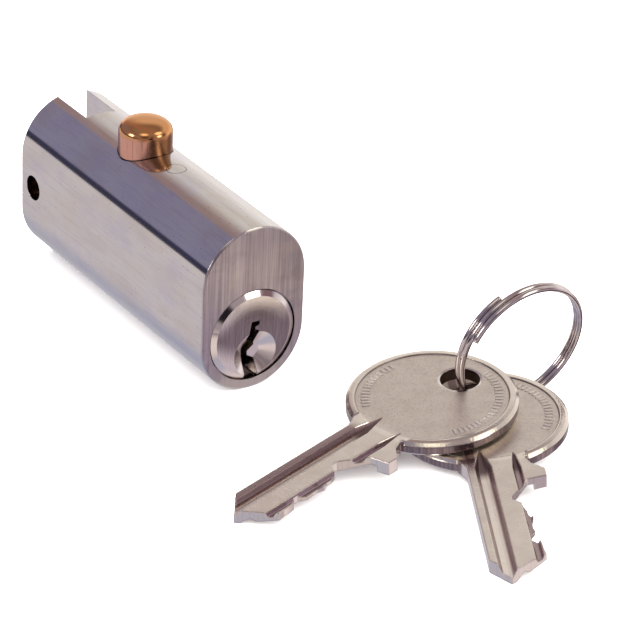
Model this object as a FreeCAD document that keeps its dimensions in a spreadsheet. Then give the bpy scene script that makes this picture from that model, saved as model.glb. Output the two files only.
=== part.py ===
import FreeCAD
import Part

import math
import os
import re

import Sketcher
from FreeCAD import Placement, Rotation, Vector

# Oval filing cabinet lock: a push bolt cylinder with its two keys on a split ring.
# X is across the face, Y runs back from the face and Z is up. The origin is on the
# axis of the plug, in the plane of the housing's front face. All sizes are millimetres.

SIZES = {
    # Housing: a bar with round top and bottom and two flat sides
    "body_radius": 8.9,
    "body_rise": 8.7,
    "body_length": 53.0,
    "face_chamfer": 0.25,
    "counterbore_depth": 2.6,
    "slot_width": 5.1,
    "slot_length": 8.9,
    "link_hole_radius": 2.0,
    "link_hole_inset": 3.5,
    "link_hole_height": 4.45,
    # Plug, which the key turns
    "plug_head_radius": 7.18,
    "plug_head_gap": 0.22,
    "plug_proud": 0.25,
    "plug_bevel": 0.85,
    "plug_bevel_depth": 0.45,
    "plug_radius": 6.5,
    "running_gap": 0.05,
    "plug_length": 26.3,
    "bore_end_gap": 0.4,
    "dish_radius": 3.7,
    "dish_floor_radius": 1.4,
    "dish_depth": 1.5,
    "dish_side": 0.42,
    "dish_drop": 3.2,
    # Pin stacks above the plug
    "pin_radius": 1.35,
    "pin_point": 0.75,
    "pin_point_radius": 0.47,
    "pin_gap": 0.04,
    "first_pin": 4.7,
    "pin_pitch": 3.1,
    "chamber_floor": 2.6,
    "shear_margin": 0.2,
    "driver_length": 4.0,
    "driver_waist": 0.25,
    "chamber_cap": 1.9,
    "stack_spring_radius": 1.0,
    "stack_spring_wire": 0.2,
    # Pin that keeps the plug in the housing and stops it after a quarter turn
    "keeper_radius": 1.5,
    "keeper_setback": 4.2,
    "keeper_groove_depth": 1.65,
    "keeper_end_gap": 0.1,
    "quarter_turn": 90.0,
    # Crank pin on the back of the plug
    "crank_throw": 3.54,
    "crank_radius": 1.0,
    "crank_seat": 2.2,
    "crank_reach": 4.0,
    # Bolt
    "bolt_radius": 4.15,
    "bolt_gap": 0.07,
    "bolt_setback": 4.7,
    "bolt_stand": 4.1,
    "bolt_edge": 1.4,
    "bolt_dome": 0.55,
    "bolt_travel": 5.0,
    "bolt_floor_wall": 1.5,
    "bolt_foot_gap": 0.2,
    "bolt_slot_gap": 0.2,
    "bolt_slot_run": 0.3,
    "bolt_web": 0.9,
    "bolt_spring_pocket": 2.35,
    "bolt_spring_radius": 1.8,
    "bolt_spring_wire": 0.25,
    "spring_end_gap": 0.02,
    # Keys, whose blade is measured from the bow's middle line
    "bow_radius": 12.6,
    "key_thickness": 2.1,
    "bow_field_radius": 11.2,
    "bow_field_depth": 0.12,
    "bow_edge": 0.5,
    "bow_hole_radius": 2.95,
    "bow_hole_offset": 6.0,
    "neck_back": 4.7,
    "neck_back_run": 1.7,
    "neck_side": 4.6,
    "neck_foot": 5.2,
    "neck_foot_run": 1.6,
    "blade_back": 3.9,
    "blade_top": 4.1,
    "stop_side": 7.0,
    "stop_place": 16.7,
    "stop_width": 1.8,
    "stop_slope": 0.6,
    "blade_length": 22.7,
    "tip_side": 1.2,
    "tip_back": 3.2,
    "tip_land": 1.2,
    "cut_flat": 0.9,
    "tooth_rise": 0.5,
    # The grooves along the blade: the two on its upper face, then the one below
    "groove_run": 4.6,
    "groove_point": 0.1,
    "back_groove_start": 8.6,
    "back_groove_low": -2.85,
    "back_groove_high": -0.4,
    "back_groove_wall": 0.65,
    "back_groove_slope": 0.85,
    "back_groove_depth": 1.1,
    "cut_groove_start": 9.4,
    "cut_groove_low": 2.45,
    "cut_groove_high": 3.7,
    "cut_groove_wall": 0.3,
    "cut_groove_depth": 0.7,
    "under_groove_start": 9.0,
    "under_groove_low": -0.45,
    "under_groove_high": 1.4,
    "under_groove_slope": 0.9,
    "under_groove_wall": 0.65,
    "under_groove_depth": 0.9,
    "under_thin_low": 0.45,
    "under_thin_high": 0.95,
    # How the key sits in the plug
    "key_seat": 1.95,
    "key_side": 0.15,
    "keyway_gap": 0.12,
    # Split ring
    "ring_radius": 10.38,
    "ring_wire": 0.46,
    "ring_turns": 2.11,
    "ring_pitch": 1.38,
}

# Height of each of the five cuts above the blade's middle line, from the bow to the tip
CUT_HEIGHTS = (1.3, 3.1, 3.3, 2.6, 3.9)

# Where the loose keys lie: the middle of each bow's upper face, then heading, slope and roll
KEY_POSES = {
    "key_1": (15.96, -23.5, -3.1, -167.6, 5.36, 0.3),
    "key_2": (21.25, -28.7, -5.29, -117.95, 1.9, 4.55),
}
# The number of sides that the ring's round wire is drawn with
RING_WIRE_SIDES = 8
# The split ring's middle, the heading and lift of its axis, and its turn about that axis
RING_POSE = (30.39, -24.75, 1.91, -89.6, -9.1, 117.0)

document = FreeCAD.newDocument("filing_cabinet_lock")
sheet = document.addObject("Spreadsheet::Sheet", "Sizes")
for row, (alias, number) in enumerate(SIZES.items(), start=1):
    sheet.set(f"A{row}", alias.replace("_", " "))
    sheet.set(f"B{row}", str(number))
    sheet.setAlias(f"B{row}", alias)
document.recompute()

# Expressions and small helpers


def linked(expression):
    """The expression with every size's name pointed at its cell in the sheet."""
    return re.sub(r"[a-z_]+[a-z]", lambda word: "Sizes." + word.group() if word.group() in SIZES
                  else word.group(), str(expression))


def size(expression):
    """The number that an expression in the sheet's names has."""
    return float(sheet.evalExpression(linked(expression).replace("Sizes.", "")))


def bind(item, **properties):
    """Tie properties of an object to expressions; a double underscore stands for a dot."""
    for name, expression in properties.items():
        item.setExpression(name.replace("__", "."), linked(expression))


def add(kind, name):
    return document.addObject(kind, name)


def axis_turn(axis):
    """The turn that brings a primitive's own Z axis onto X, Y or Z."""
    return {"X": Rotation(Vector(0, 1, 0), 90),
            "Y": Rotation(Vector(1, 0, 0), -90),
            "Z": Rotation()}[axis]


def place(item, x, y, z, rotation=None):
    item.Placement = Placement(Vector(size(x), size(y), size(z)), rotation or Rotation())
    bind(item, Placement__Base__x=x, Placement__Base__y=y, Placement__Base__z=z)
    return item


def cylinder(name, radius, height, x="0", y="0", z="0", axis="Z", angle=None):
    item = add("Part::Cylinder", name)
    bind(item, Radius=radius, Height=height)
    if angle is not None:
        bind(item, Angle=angle)
    return place(item, x, y, z, axis_turn(axis))


def cone(name, low_radius, high_radius, height, x="0", y="0", z="0", axis="Z"):
    item = add("Part::Cone", name)
    bind(item, Radius1=low_radius, Radius2=high_radius, Height=height)
    return place(item, x, y, z, axis_turn(axis))


def fused(name, *pieces):
    item = add("Part::MultiFuse", name)
    item.Shapes = list(pieces)
    return item


def cut(name, base, *tools):
    """The base with all the tools taken out of it."""
    item = add("Part::Cut", name)
    item.Base = base
    item.Tool = tools[0] if len(tools) == 1 else fused(name + "_tools", *tools)
    return item


def common(name, base, tool):
    item = add("Part::Common", name)
    item.Base = base
    item.Tool = tool
    return item


def new_body(name):
    return add("PartDesign::Body", name)


def new_sketch(body, role, name, offset="0"):
    """A sketch on one of the body's origin planes, moved along the plane's normal."""
    plane = next(item for item in body.Origin.OriginFeatures if item.Role == role)
    sketch = body.newObject("Sketcher::SketchObject", name)
    sketch.AttachmentSupport = [(plane, "")]
    sketch.MapMode = "FlatFace"
    sketch.AttachmentOffset = Placement(Vector(0, 0, size(offset)), Rotation())
    bind(sketch, AttachmentOffset__Base__z=offset)
    return sketch


def dimension(sketch, kind, expression, *geometry):
    """A named constraint whose value follows the sheet."""
    index = sketch.addConstraint(Sketcher.Constraint(kind, *geometry, size(expression)))
    name = f"{kind.lower()}_{index}"
    sketch.renameConstraint(index, name)
    sketch.setExpression("Constraints." + name, linked(expression))


def pin_point(sketch, edge, end, x, y):
    """Hold one end or the centre of an edge at x and y."""
    dimension(sketch, "DistanceX", x, -1, 1, edge, end)
    dimension(sketch, "DistanceY", y, -1, 1, edge, end)


def draw_outline(sketch, corners, arcs=None):
    """Draw a closed outline; arcs maps an edge's number to (centre x, centre y, sense).

    The sense is 1 for an arc that runs anticlockwise and -1 for a clockwise one. An arc's
    ends are corners of the outline, so holding its centre across its chord fixes it.
    """
    arcs = arcs or {}
    points = [Vector(size(x), size(y), 0) for x, y in corners]
    ends = []
    for number, start in enumerate(points):
        finish = points[(number + 1) % len(points)]
        if number not in arcs:
            sketch.addGeometry(Part.LineSegment(start, finish), False)
            ends.append((1, 2))
            continue
        x, y, sense = arcs[number]
        centre = Vector(size(x), size(y), 0)
        first, last = (start, finish) if sense > 0 else (finish, start)
        turns = [math.atan2(point.y - centre.y, point.x - centre.x) for point in (first, last)]
        if turns[1] <= turns[0]:
            turns[1] += 2 * math.pi
        circle = Part.Circle(centre, Vector(0, 0, 1), (start - centre).Length)
        sketch.addGeometry(Part.ArcOfCircle(circle, *turns), False)
        ends.append((1, 2) if sense > 0 else (2, 1))
    for number, corner in enumerate(corners):
        before = number - 1 if number else len(corners) - 1
        sketch.addConstraint(Sketcher.Constraint(
            "Coincident", before, ends[before][1], number, ends[number][0]))
        pin_point(sketch, number, ends[number][0], *corner)
    for number, (x, y, _) in arcs.items():
        chord = points[(number + 1) % len(points)] - points[number]
        if abs(chord.x) > abs(chord.y):
            dimension(sketch, "DistanceY", y, -1, 1, number, 3)
        else:
            dimension(sketch, "DistanceX", x, -1, 1, number, 3)


def draw_circle(sketch, x, y, radius):
    centre = Vector(size(x), size(y), 0)
    index = sketch.addGeometry(Part.Circle(centre, Vector(0, 0, 1), size(radius)), False)
    pin_point(sketch, index, 3, x, y)
    dimension(sketch, "Radius", radius, index)


def pad(body, sketch, name, length, reverse=False):
    item = body.newObject("PartDesign::Pad", name)
    item.Profile = sketch
    item.Reversed = reverse
    bind(item, Length=length)
    return item


def pocket(body, sketch, name, length=None, reverse=False, midplane=False, taper=None):
    """A pocket against its sketch's normal, to a depth or through everything."""
    item = body.newObject("PartDesign::Pocket", name)
    item.Profile = sketch
    item.Reversed = reverse
    item.Midplane = midplane
    if length is None:
        item.Type = 1
    else:
        bind(item, Length=length)
    if taper is not None:
        bind(item, TaperAngle=taper)
    return item


def check_cut(before, after):
    """Stop if a cutting feature left the volume as it was."""
    document.recompute()
    if not after.Shape.Volume < before.Shape.Volume - 1e-3:
        raise RuntimeError(after.Name + " cuts nothing")


def revolve(body, sketch, name, axis):
    item = body.newObject("PartDesign::Revolution", name)
    item.Profile = sketch
    item.ReferenceAxis = (sketch, [axis])
    item.Angle = 360
    return item


def shape_node(name, shape, placement=None):
    """A node whose shape is made with Part's own functions."""
    item = add("Part::Feature", name)
    item.Shape = shape
    if placement is not None:
        item.Placement = placement
    return item


# Coils: a wire on arcs that follow a helix


def arc_from_tangent(start, tangent, finish):
    """The arc that leaves start along tangent and ends at finish."""
    chord = finish - start
    along = Vector(chord).normalize()
    side = tangent - along * tangent.dot(along)
    if side.Length < 1e-9:
        return Part.LineSegment(start, finish).toShape()
    side.normalize()
    rise = chord.Length / 2 * math.tan(tangent.getAngle(chord) / 2)
    return Part.Arc(start, start + chord * 0.5 + side * rise, finish).toShape()


def biarc(start, first_tangent, finish, last_tangent):
    """Two arcs with one tangent where they meet."""
    span = finish - start
    total = first_tangent + last_tangent
    spread = 2 * (1 - first_tangent.dot(last_tangent))
    reach = (-span.dot(total) + math.sqrt(span.dot(total) ** 2 + spread * span.dot(span))) / spread
    middle = (start + finish + (first_tangent - last_tangent) * reach) * 0.5
    first = arc_from_tangent(start, first_tangent, middle)
    meeting = ((middle - start) - first_tangent * reach).normalize()
    return [first, arc_from_tangent(middle, meeting, finish)]


def coil(radius, pitch, turns, wire, sides, straight_end=0.0):
    """A helical wire about Z as one tube, centred on the origin, on quarter turns.

    The wire's section is a polygon with so many sides, whose corners lie at the wire's radius.
    """
    steps = max(1, round(turns * 4))
    sweep = 2 * math.pi * turns
    low = -pitch * turns / 2
    points = []
    tangents = []
    for step in range(steps + 1):
        angle = sweep * step / steps
        points.append(Vector(radius * math.cos(angle), radius * math.sin(angle),
                             low + pitch * angle / (2 * math.pi)))
        tangents.append(Vector(-radius * math.sin(angle), radius * math.cos(angle),
                               pitch / (2 * math.pi)).normalize())
    edges = []
    for step in range(steps):
        edges += biarc(points[step], tangents[step], points[step + 1], tangents[step + 1])
    if straight_end:
        before = points[0] - tangents[0] * straight_end
        after = points[-1] + tangents[-1] * straight_end
        edges.insert(0, Part.LineSegment(before, points[0]).toShape())
        edges.append(Part.LineSegment(points[-1], after).toShape())
    path = Part.Wire(edges)
    start = path.OrderedVertexes[0].Point
    heading = path.OrderedEdges[0].tangentAt(path.OrderedEdges[0].FirstParameter)
    rim = Part.Circle(start, heading, wire)
    corners = [rim.value(2 * math.pi * corner / sides) for corner in range(sides)]
    section = Part.makePolygon(corners + corners[:1])
    sweep_maker = Part.BRepOffsetAPI.MakePipeShell(path)
    sweep_maker.add(section)
    sweep_maker.build()
    sweep_maker.makeSolid()
    return sweep_maker.shape(), path


def least_gap(path, wire, samples=600):
    """The least gap between a coil's wire and itself, measured on points of its path."""
    points = path.discretize(samples)
    spacing = path.Length / samples
    apart = int(math.pi * 3 * wire / spacing) + 1
    least = min((points[i] - points[j]).Length
                for i in range(samples) for j in range(i + apart, samples))
    return least - 2 * wire


# Housing


def oval_corners():
    """The oval's outline in X and Z: the corners, and the arcs at its top and bottom."""
    corners = [("body_radius", "0"), ("body_radius", "body_rise"),
               ("-body_radius", "body_rise"), ("-body_radius", "0")]
    arcs = {1: ("0", "body_rise", 1), 3: ("0", "0", 1)}
    return corners, arcs


KEEPER_PLACE = "(plug_length - keeper_setback)"
BOLT_PLACE = "(plug_length + bolt_setback)"
BOLT_BORE_FLOOR = "(bolt_floor_wall - body_radius)"
BOLT_FOOT = "(bolt_floor_wall - body_radius + bolt_travel + bolt_foot_gap)"
RIDGE = "(body_radius + body_rise)"
PLUG_BORE = "(plug_radius + running_gap)"
CHAMBER_RADIUS = "(pin_radius + pin_gap)"


def make_housing():
    body = new_body("housing")
    oval = new_sketch(body, "XZ_Plane", "oval")
    draw_outline(oval, *oval_corners())
    bar = pad(body, oval, "bar", "body_length", reverse=True)
    document.recompute()

    edges = [f"Edge{number}" for number, edge in enumerate(bar.Shape.Edges, start=1)
             if edge.BoundBox.YMax < 1e-6]
    chamfer = body.newObject("PartDesign::Chamfer", "face_edge")
    chamfer.Base = (bar, edges)
    bind(chamfer, Size="face_chamfer")

    steps = (
        ("head_bore", "plug_head_radius + plug_head_gap", "counterbore_depth"),
        ("plug_bore", PLUG_BORE, "plug_length + bore_end_gap"),
        ("crank_bore", "crank_throw + crank_radius + bore_end_gap",
         "plug_length + crank_reach + bore_end_gap"),
    )
    last = chamfer
    for name, radius, depth in steps:
        circle = new_sketch(body, "XZ_Plane", name + "_circle")
        draw_circle(circle, "0", "0", radius)
        bore = pocket(body, circle, name, depth)
        check_cut(last, bore)
        last = bore

    first = new_sketch(body, "XY_Plane", "chamber_circle", "plug_radius / 2")
    draw_circle(first, "0", "first_pin", CHAMBER_RADIUS)
    chamber = pocket(body, first, "first_chamber", reverse=True)
    check_cut(last, chamber)
    row = body.newObject("PartDesign::LinearPattern", "chamber_row")
    row.Originals = [chamber]
    row.Direction = (first, ["V_Axis"])
    row.Occurrences = len(CUT_HEIGHTS)
    bind(row, Length=f"pin_pitch * {len(CUT_HEIGHTS) - 1}")
    body.Tip = row
    check_cut(chamber, row)

    keeper = new_sketch(body, "XY_Plane", "keeper_circle", "plug_radius / 2")
    draw_circle(keeper, "0", KEEPER_PLACE, "keeper_radius")
    keeper_bore = pocket(body, keeper, "keeper_bore", reverse=True)
    check_cut(row, keeper_bore)

    bolt = new_sketch(body, "XY_Plane", "bolt_circle", BOLT_BORE_FLOOR)
    draw_circle(bolt, "0", BOLT_PLACE, "bolt_radius + bolt_gap")
    bolt_bore = pocket(body, bolt, "bolt_bore", reverse=True)
    check_cut(keeper_bore, bolt_bore)

    slot = new_sketch(body, "XZ_Plane", "rear_slot_outline", "-body_length")
    draw_outline(slot, [("-slot_width / 2", "-body_radius - 1"), ("slot_width / 2", "-body_radius - 1"),
                        ("slot_width / 2", RIDGE + " + 1"), ("-slot_width / 2", RIDGE + " + 1")])
    rear_slot = pocket(body, slot, "rear_slot", "slot_length", reverse=True)
    check_cut(bolt_bore, rear_slot)

    link = new_sketch(body, "YZ_Plane", "link_circle")
    draw_circle(link, "body_length - link_hole_inset", "link_hole_height", "link_hole_radius")
    link_hole = pocket(body, link, "link_hole", "body_radius * 3", midplane=True)
    check_cut(rear_slot, link_hole)
    return body


def make_oval_blank(name):
    """A solid oval bar, which trims the pieces that end flush with the housing's ridge."""
    blank = new_body(name)
    outline = new_sketch(blank, "XZ_Plane", name + "_outline")
    draw_outline(outline, *oval_corners())
    pad(blank, outline, name + "_bar", "body_length", reverse=True)
    return blank


# Plug and what it carries

# Sections of the key's grooves: (place across the blade, depth below its face)
BACK_GROOVE = (
    ("back_groove_low", "0"),
    ("back_groove_low + back_groove_wall", "back_groove_depth"),
    ("back_groove_high - back_groove_slope", "back_groove_depth"),
    ("back_groove_high", "0"),
)
CUT_GROOVE = (
    ("cut_groove_low", "0"),
    ("cut_groove_low + cut_groove_wall", "cut_groove_depth"),
    ("cut_groove_high - cut_groove_wall", "cut_groove_depth"),
    ("cut_groove_high", "0"),
)
UNDER_GROOVE = (
    ("under_groove_low", "0"),
    ("under_groove_low + under_groove_slope", "under_groove_depth"),
    ("under_groove_high - under_groove_wall", "under_groove_depth"),
    ("under_groove_high", "under_thin_low"),
    ("blade_top", "under_thin_high"),
)


def ward_corners(section, side):
    """The ward that fills one of the key's grooves, less the keyway's gap."""
    corners = []
    for number, (place, depth) in enumerate(section):
        shift = "+ keyway_gap" if number < 2 else "- keyway_gap"
        corners.append((f"{side} * (key_thickness / 2 + keyway_gap - {depth}) - key_side",
                        f"{place} - key_seat {shift}"))
    return corners


def keyway_corners():
    """The slot's outline in X and Z: the key's own section with the keyway's gap all round."""
    wall = "(key_thickness / 2 + keyway_gap)"
    low = "(-plug_head_radius - keyway_gap)"
    high = "(blade_top - key_seat + keyway_gap)"
    corners = [(f"{wall} - key_side", high)]
    corners += ward_corners(CUT_GROOVE, 1)[::-1] + ward_corners(BACK_GROOVE, 1)[::-1]
    corners += [(f"{wall} - key_side", low), (f"-{wall} - key_side", low)]
    corners += ward_corners(UNDER_GROOVE, -1)
    thinned_top = corners.pop()[0]
    return corners + [(thinned_top, high)]


def pin_place(number):
    """How far behind the face pin number 0 to 4 stands."""
    return f"first_pin + pin_pitch * {number}"


def make_plug():
    body = new_body("plug_blank")
    side = new_sketch(body, "YZ_Plane", "plug_side")
    draw_outline(side, [
        ("-plug_proud", "0"),
        ("plug_length", "0"),
        ("plug_length", "plug_radius"),
        ("counterbore_depth - running_gap", "plug_radius"),
        ("counterbore_depth - running_gap", "plug_head_radius"),
        ("plug_bevel_depth - plug_proud", "plug_head_radius"),
        ("-plug_proud", "plug_head_radius - plug_bevel"),
    ])
    turned = revolve(body, side, "turned_plug", "H_Axis")
    keyway = new_sketch(body, "XZ_Plane", "keyway_outline", "plug_proud")
    draw_outline(keyway, keyway_corners())
    slot = pocket(body, keyway, "keyway", "blade_length + keyway_gap * 4")
    check_cut(turned, slot)

    tools = [cone("dish", "dish_radius", "dish_floor_radius", "dish_depth",
                  "dish_side", "-plug_proud", "-dish_drop", "Y"),
             cylinder("crank_seat_hole", "crank_radius", "crank_seat + 1",
                      "crank_throw * cos(45)", "plug_length - crank_seat",
                      "crank_throw * sin(45)", "Y")]
    for number in range(len(CUT_HEIGHTS)):
        tools.append(cylinder(f"plug_chamber_{number + 1}", CHAMBER_RADIUS,
                              "plug_radius + chamber_floor + 1", "0", pin_place(number),
                              "-chamber_floor"))
    groove_floor = "plug_radius - keeper_groove_depth"
    groove_width = "2 * (keeper_radius + keeper_end_gap)"
    groove_front = f"{KEEPER_PLACE} - keeper_radius - keeper_end_gap"
    quarter = cylinder("keeper_groove_outer", "plug_radius + 1", groove_width, "0",
                       groove_front, "0", "Y", "quarter_turn")
    quarter.Placement.Rotation = Rotation(Vector(0, 1, 0), 180) * axis_turn("Y")
    core = cylinder("keeper_groove_core", groove_floor, groove_width, "0", groove_front, "0", "Y")
    tools.append(cut("keeper_groove", quarter, core))
    for name, axis, x, z in (("keeper_groove_top", "Z", "0", groove_floor),
                             ("keeper_groove_side", "X", "-plug_radius - 1", "0")):
        length = "keeper_groove_depth + 1"
        tools.append(cylinder(name, "keeper_radius + keeper_end_gap", length, x,
                              KEEPER_PLACE, z, axis))
    return cut("plug", body, *tools)


def make_key_pins():
    """Five key pins with a cone below and a flat top just under the plug's surface."""
    pins = []
    for number, height in enumerate(CUT_HEIGHTS):
        foot = f"({height} - key_seat)"
        shaft = cylinder(f"key_pin_{number + 1}_shaft", "pin_radius",
                         f"plug_radius - shear_margin - {foot} - pin_point", "0",
                         pin_place(number), f"{foot} + pin_point")
        point = cone(f"key_pin_{number + 1}_point", "pin_point_radius", "pin_radius", "pin_point",
                     "0", pin_place(number), foot)
        pins.append(fused(f"key_pin_{number + 1}", shaft, point))
    return pins


DRIVER_FOOT = "(plug_radius + shear_margin / 2)"
DRIVER_HEAD = "(plug_radius + shear_margin / 2 + driver_length)"
CAP_FOOT = "(body_radius + body_rise - chamber_cap)"


def make_drivers():
    """Five driver pins, each with a turned waist in its middle."""
    drivers = []
    for number in range(len(CUT_HEIGHTS)):
        name = f"driver_pin_{number + 1}"
        third = "(driver_length / 3)"
        low = cylinder(name + "_low", "pin_radius", third, "0", pin_place(number), DRIVER_FOOT)
        waist = cylinder(name + "_waist", "pin_radius - driver_waist", third, "0",
                         pin_place(number), f"{DRIVER_FOOT} + {third}")
        high = cylinder(name + "_high", "pin_radius", third, "0", pin_place(number),
                        f"{DRIVER_FOOT} + 2 * {third}")
        drivers.append(fused(name, low, waist, high))
    return drivers


def make_stack_springs():
    """Five small coil springs, each a hollow sleeve with the coil's outer and inner sizes."""
    springs = []
    for number in range(len(CUT_HEIGHTS)):
        name = f"driver_spring_{number + 1}"
        foot = f"{DRIVER_HEAD} + spring_end_gap"
        height = f"{CAP_FOOT} - {DRIVER_HEAD} - 2 * spring_end_gap"
        sleeve = cylinder(name + "_outer", "stack_spring_radius + stack_spring_wire", height,
                          "0", pin_place(number), foot)
        hollow = cylinder(name + "_inner", "stack_spring_radius - stack_spring_wire", height,
                          "0", pin_place(number), foot)
        springs.append(cut(name, sleeve, hollow))
    return springs


def make_caps():
    """The plugs that close the five chambers, ground flush with the ridge."""
    blanks = [cylinder(f"chamber_cap_{number + 1}", CHAMBER_RADIUS, "chamber_cap + 1", "0",
                       pin_place(number), CAP_FOOT) for number in range(len(CUT_HEIGHTS))]
    return common("chamber_caps", fused("cap_blanks", *blanks), make_oval_blank("cap_trim"))


def make_keeper():
    """The pin in the ridge that runs in the plug's groove."""
    foot = "plug_radius - keeper_groove_depth + keeper_end_gap"
    blank = cylinder("keeper_blank", "keeper_radius", f"{RIDGE} - ({foot}) + 1", "0",
                     KEEPER_PLACE, foot)
    return common("keeper_pin", blank, make_oval_blank("keeper_trim"))


def make_crank_pin():
    return cylinder("crank_pin", "crank_radius", "crank_seat + crank_reach",
                    "crank_throw * cos(45)", "plug_length - crank_seat",
                    "crank_throw * sin(45)", "Y")


# Bolt


def make_bolt():
    """The bolt: the crank pin pulls it in by its window, which leaves room to press it in too.

    Its top is an arc across the bolt, which sinks by bolt_dome from the middle to the edge.
    """
    body = new_body("bolt")
    side = new_sketch(body, "XZ_Plane", "bolt_side")
    top = f"({RIDGE} + bolt_stand)"
    shoulder = f"({top} - bolt_dome)"
    crown = "(bolt_radius - bolt_edge)"
    draw_outline(side, [
        ("0", BOLT_FOOT),
        ("bolt_radius", BOLT_FOOT),
        ("bolt_radius", f"{shoulder} - bolt_edge"),
        (crown, shoulder),
        ("0", top),
    ], {2: (crown, f"{shoulder} - bolt_edge", 1),
        3: ("0", f"{top} - ({crown} ^ 2 + bolt_dome ^ 2) / (2 * bolt_dome)", 1)})
    turned = revolve(body, side, "turned_bolt", "V_Axis")

    slot_half = "crank_radius + bolt_slot_gap"
    reach = "(crank_reach + bolt_slot_run - bolt_setback)"
    slot = new_sketch(body, "YZ_Plane", "crank_slot_outline")
    level = "crank_throw * sin(45)"
    draw_outline(slot, [
        ("-bolt_radius - 1", f"{level} - ({slot_half})"),
        (reach, f"{level} - ({slot_half})"),
        (reach, f"{level} + {slot_half} + bolt_travel"),
        ("-bolt_radius - 1", f"{level} + {slot_half} + bolt_travel"),
    ])
    crank_slot = pocket(body, slot, "crank_slot", "bolt_radius * 3", midplane=True)
    check_cut(turned, crank_slot)

    foot = new_sketch(body, "XY_Plane", "spring_circle", BOLT_FOOT)
    draw_circle(foot, "0", "0", "bolt_spring_pocket")
    spring_hole = pocket(body, foot, "spring_hole",
                         f"{level} - ({slot_half}) - bolt_web - {BOLT_FOOT}", reverse=True)
    check_cut(crank_slot, spring_hole)
    return place(body, "0", BOLT_PLACE, "0")


def make_bolt_spring():
    """The spring between the floor of the bolt's bore and the hole in its foot, as a sleeve."""
    foot = f"{BOLT_BORE_FLOOR} + spring_end_gap"
    height = (f"crank_throw * sin(45) - crank_radius - bolt_slot_gap - bolt_web - {BOLT_BORE_FLOOR}"
              " - 2 * spring_end_gap")
    sleeve = cylinder("bolt_spring_outer", "bolt_spring_radius + bolt_spring_wire", height,
                      "0", BOLT_PLACE, foot)
    hollow = cylinder("bolt_spring_inner", "bolt_spring_radius - bolt_spring_wire", height,
                      "0", BOLT_PLACE, foot)
    return cut("bolt_spring", sleeve, hollow)


# Keys and their ring

PLACE_OF_FIRST_CUT = "(stop_place + plug_proud + first_pin)"


def mill_groove(body, name, last, start, section, face, sense):
    """Cut one groove along the blade, which runs out to a point near the bow."""
    middle = f"(({section[0][0]} + {section[-1][0]}) / 2)"
    stations = (("tip", "stop_place + blade_length + 1", "1"),
                ("shoulder", f"{start} + groove_run", "1"),
                ("point", start, "groove_point"))
    sketches = []
    for station, place_along, share in stations:
        sketch = new_sketch(body, "YZ_Plane", f"{name}_{station}", place_along)
        draw_outline(sketch, [(f"{middle} + ({across} - {middle}) * {share}",
                               f"{face} - {sense} * {depth} * {share}")
                              for across, depth in section])
        sketches.append(sketch)
    groove = body.newObject("PartDesign::SubtractiveLoft", name)
    groove.Profile = sketches[0]
    groove.Sections = sketches[1:]
    groove.Ruled = True
    check_cut(last, groove)
    return groove


def make_key(name):
    body = new_body(name)
    outline = new_sketch(body, "XY_Plane", name + "_outline")
    tip = "(stop_place + blade_length)"
    neck_start = "sqrt(bow_radius ^ 2 - neck_back ^ 2)"
    corners = [
        (neck_start, "-neck_back"),
        (f"{neck_start} + neck_back_run", "-blade_back"),
        (f"{tip} - tip_back", "-blade_back"),
        (tip, "-tip_side"),
        (f"{PLACE_OF_FIRST_CUT} + pin_pitch * {len(CUT_HEIGHTS) - 1} + cut_flat / 2 + tip_land",
         "blade_top"),
    ]
    for number in reversed(range(len(CUT_HEIGHTS))):
        centre = f"({PLACE_OF_FIRST_CUT} + pin_pitch * {number})"
        corners += [(f"{centre} + cut_flat / 2", f"{CUT_HEIGHTS[number]}"),
                    (f"{centre} - cut_flat / 2", f"{CUT_HEIGHTS[number]}")]
        if number:
            mean = (CUT_HEIGHTS[number] + CUT_HEIGHTS[number - 1]) / 2
            corners.append((f"{centre} - pin_pitch / 2", f"{mean} + tooth_rise"))
    corners += [
        ("stop_place + stop_slope", "blade_top"),
        ("stop_place", "stop_side"),
        ("stop_place - stop_width", "stop_side"),
        ("stop_place - stop_width - neck_foot_run", "neck_foot"),
        ("sqrt(bow_radius ^ 2 - neck_side ^ 2)", "neck_side"),
    ]
    draw_outline(outline, corners, {len(corners) - 1: ("0", "0", 1)})
    blank = pad(body, outline, name + "_blank", "key_thickness", reverse=True)
    document.recompute()

    hole = new_sketch(body, "XY_Plane", name + "_hole_circle")
    draw_circle(hole, "-bow_hole_offset", "0", "bow_hole_radius")
    bow_hole = pocket(body, hole, name + "_hole")
    check_cut(blank, bow_hole)

    last = bow_hole
    for side, offset, reverse in (("upper", "0", False), ("lower", "-key_thickness", True)):
        ring = new_sketch(body, "XY_Plane", f"{name}_{side}_field_circle", offset)
        draw_circle(ring, "0", "0", "bow_field_radius")
        field = pocket(body, ring, f"{name}_{side}_field", "bow_field_depth", reverse=reverse)
        check_cut(last, field)
        last = field

    thin_edge = (("blade_top + 1", "under_thin_high"), ("blade_top + 1", "0"))
    grooves = (
        ("back_groove", "back_groove_start", BACK_GROOVE, "0", "1"),
        ("cut_groove", "cut_groove_start", CUT_GROOVE, "0", "1"),
        ("under_groove", "under_groove_start", UNDER_GROOVE + thin_edge, "-key_thickness", "-1"),
    )
    for groove, start, section, face, sense in grooves:
        last = mill_groove(body, f"{name}_{groove}", last, start, section, face, sense)

    rim = [f"Edge{number}" for number, edge in enumerate(last.Shape.Edges, start=1)
           if edge.Curve.TypeId == "Part::GeomCircle"
           and abs(edge.Curve.Radius - size("bow_radius")) < 1e-6
           and edge.Length > size("bow_radius")]
    eased = body.newObject("PartDesign::Chamfer", name + "_rim")
    eased.Base = (last, rim)
    bind(eased, Size="bow_edge")
    document.recompute()

    x, y, z, heading, slope, roll = KEY_POSES[name]
    body.Placement = Placement(Vector(x, y, z), Rotation(heading, slope, roll))
    return body


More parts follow.
